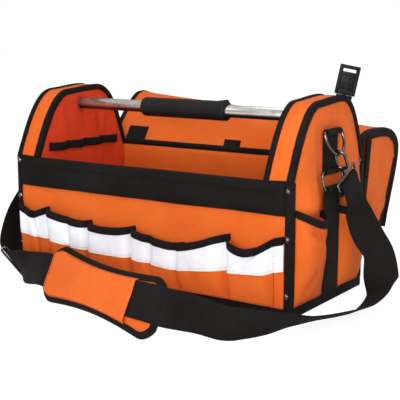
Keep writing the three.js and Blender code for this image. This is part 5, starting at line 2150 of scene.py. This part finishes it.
@dataclass
class Buckle:
    """One moulded half of a side-release buckle on a short webbing tab, on top of the right end."""

    holder: Triple = (0.234, 0.071, 0.283)
    turn: float = 0.59
    lean: float = 0.2
    middle: float = 0.036
    thickness: float = 0.008
    round_off: float = 0.0009
    bars: Sequence[BuckleBar] = (
        BuckleBar(0.0050, 0.0440, -0.0125, 0.0),
        BuckleBar(0.0050, 0.0440, 0.0125, 0.0),
        BuckleBar(0.0270, 0.0055, 0.0, 0.01925),
        BuckleBar(0.0270, 0.0050, 0.0, 0.0095),
        BuckleBar(0.0270, 0.0080, 0.0, -0.0180),
        BuckleBar(0.0200, 0.0240, 0.0, -0.0030, 0.7),
        BuckleBar(0.0060, 0.0240, 0.0, -0.0030, 0.95),
        BuckleBar(0.0160, 0.0022, 0.0, -0.0060, 0.92),
        BuckleBar(0.0160, 0.0022, 0.0, -0.0105, 0.92),
    )
    tab: Triple = (0.024, 0.0022, 0.0117)
    tab_middle: float = 0.00785
    tab_round: float = 0.0006

    def place(self) -> Matrix:
        """Where the buckle's own frame lies."""
        turned = Matrix.Rotation(self.turn, 4, "Z") @ Matrix.Rotation(self.lean, 4, "Y")
        return Matrix.Translation(self.holder) @ turned

    def build(self, maker: Maker) -> None:
        """Makes the buckle and its tab."""
        place = self.place()
        parts = []
        for bar in self.bars:
            size = (bar.width, self.thickness * bar.share, bar.height)
            middle = Matrix.Translation((bar.x, 0, self.middle + bar.z))
            parts.append(block(size, place @ middle, self.round_off))
        maker.add("buckle_half", fused(parts), Slot.PLASTIC, ["buckle"])
        tab = block(self.tab, place @ Matrix.Translation((0, 0, self.tab_middle)), self.tab_round)
        maker.add("buckle_webbing", fused([tab]), Slot.WEBBING, ["buckle_tab"])


def write_sizes() -> None:
    """Gathers the frame's box and the dressed bag's box as lists of corners; nothing is written."""
    boxes = {"cad": CAD_BOX, "visual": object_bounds()}
    {name: [list(corner) for corner in box] for name, box in boxes.items()}


def main() -> None:
    """Builds the studio and every sub-assembly in order."""
    logging.basicConfig(level=logging.INFO, format="%(message)s")
    Studio().build()
    effects = Effects()
    maker = Maker({finish.slot: finish.make(effects) for finish in FINISHES})
    stitching = Stitching()
    Body().build(maker, stitching)
    FrontPockets().build(maker, stitching)
    ends = {side: EndPanel(side) for side in Side}
    for end in ends.values():
        end.build(maker, stitching)
    ToolLoops().build(maker, stitching)
    Handle().build(maker)
    pad = ShoulderPad()
    pad.build(maker, stitching)
    hooks = {side: end.hook() for side, end in ends.items()}
    ShoulderStrap(pad, hooks).build(maker, stitching)
    Lid().build(maker, stitching)
    Buckle().build(maker)
    stitching.dress(maker, "stitching", Slot.WEBBING)
    for name in maker.made:
        log.info("made %s", name)
    write_sizes()


if __name__ == "__main__":
    main()
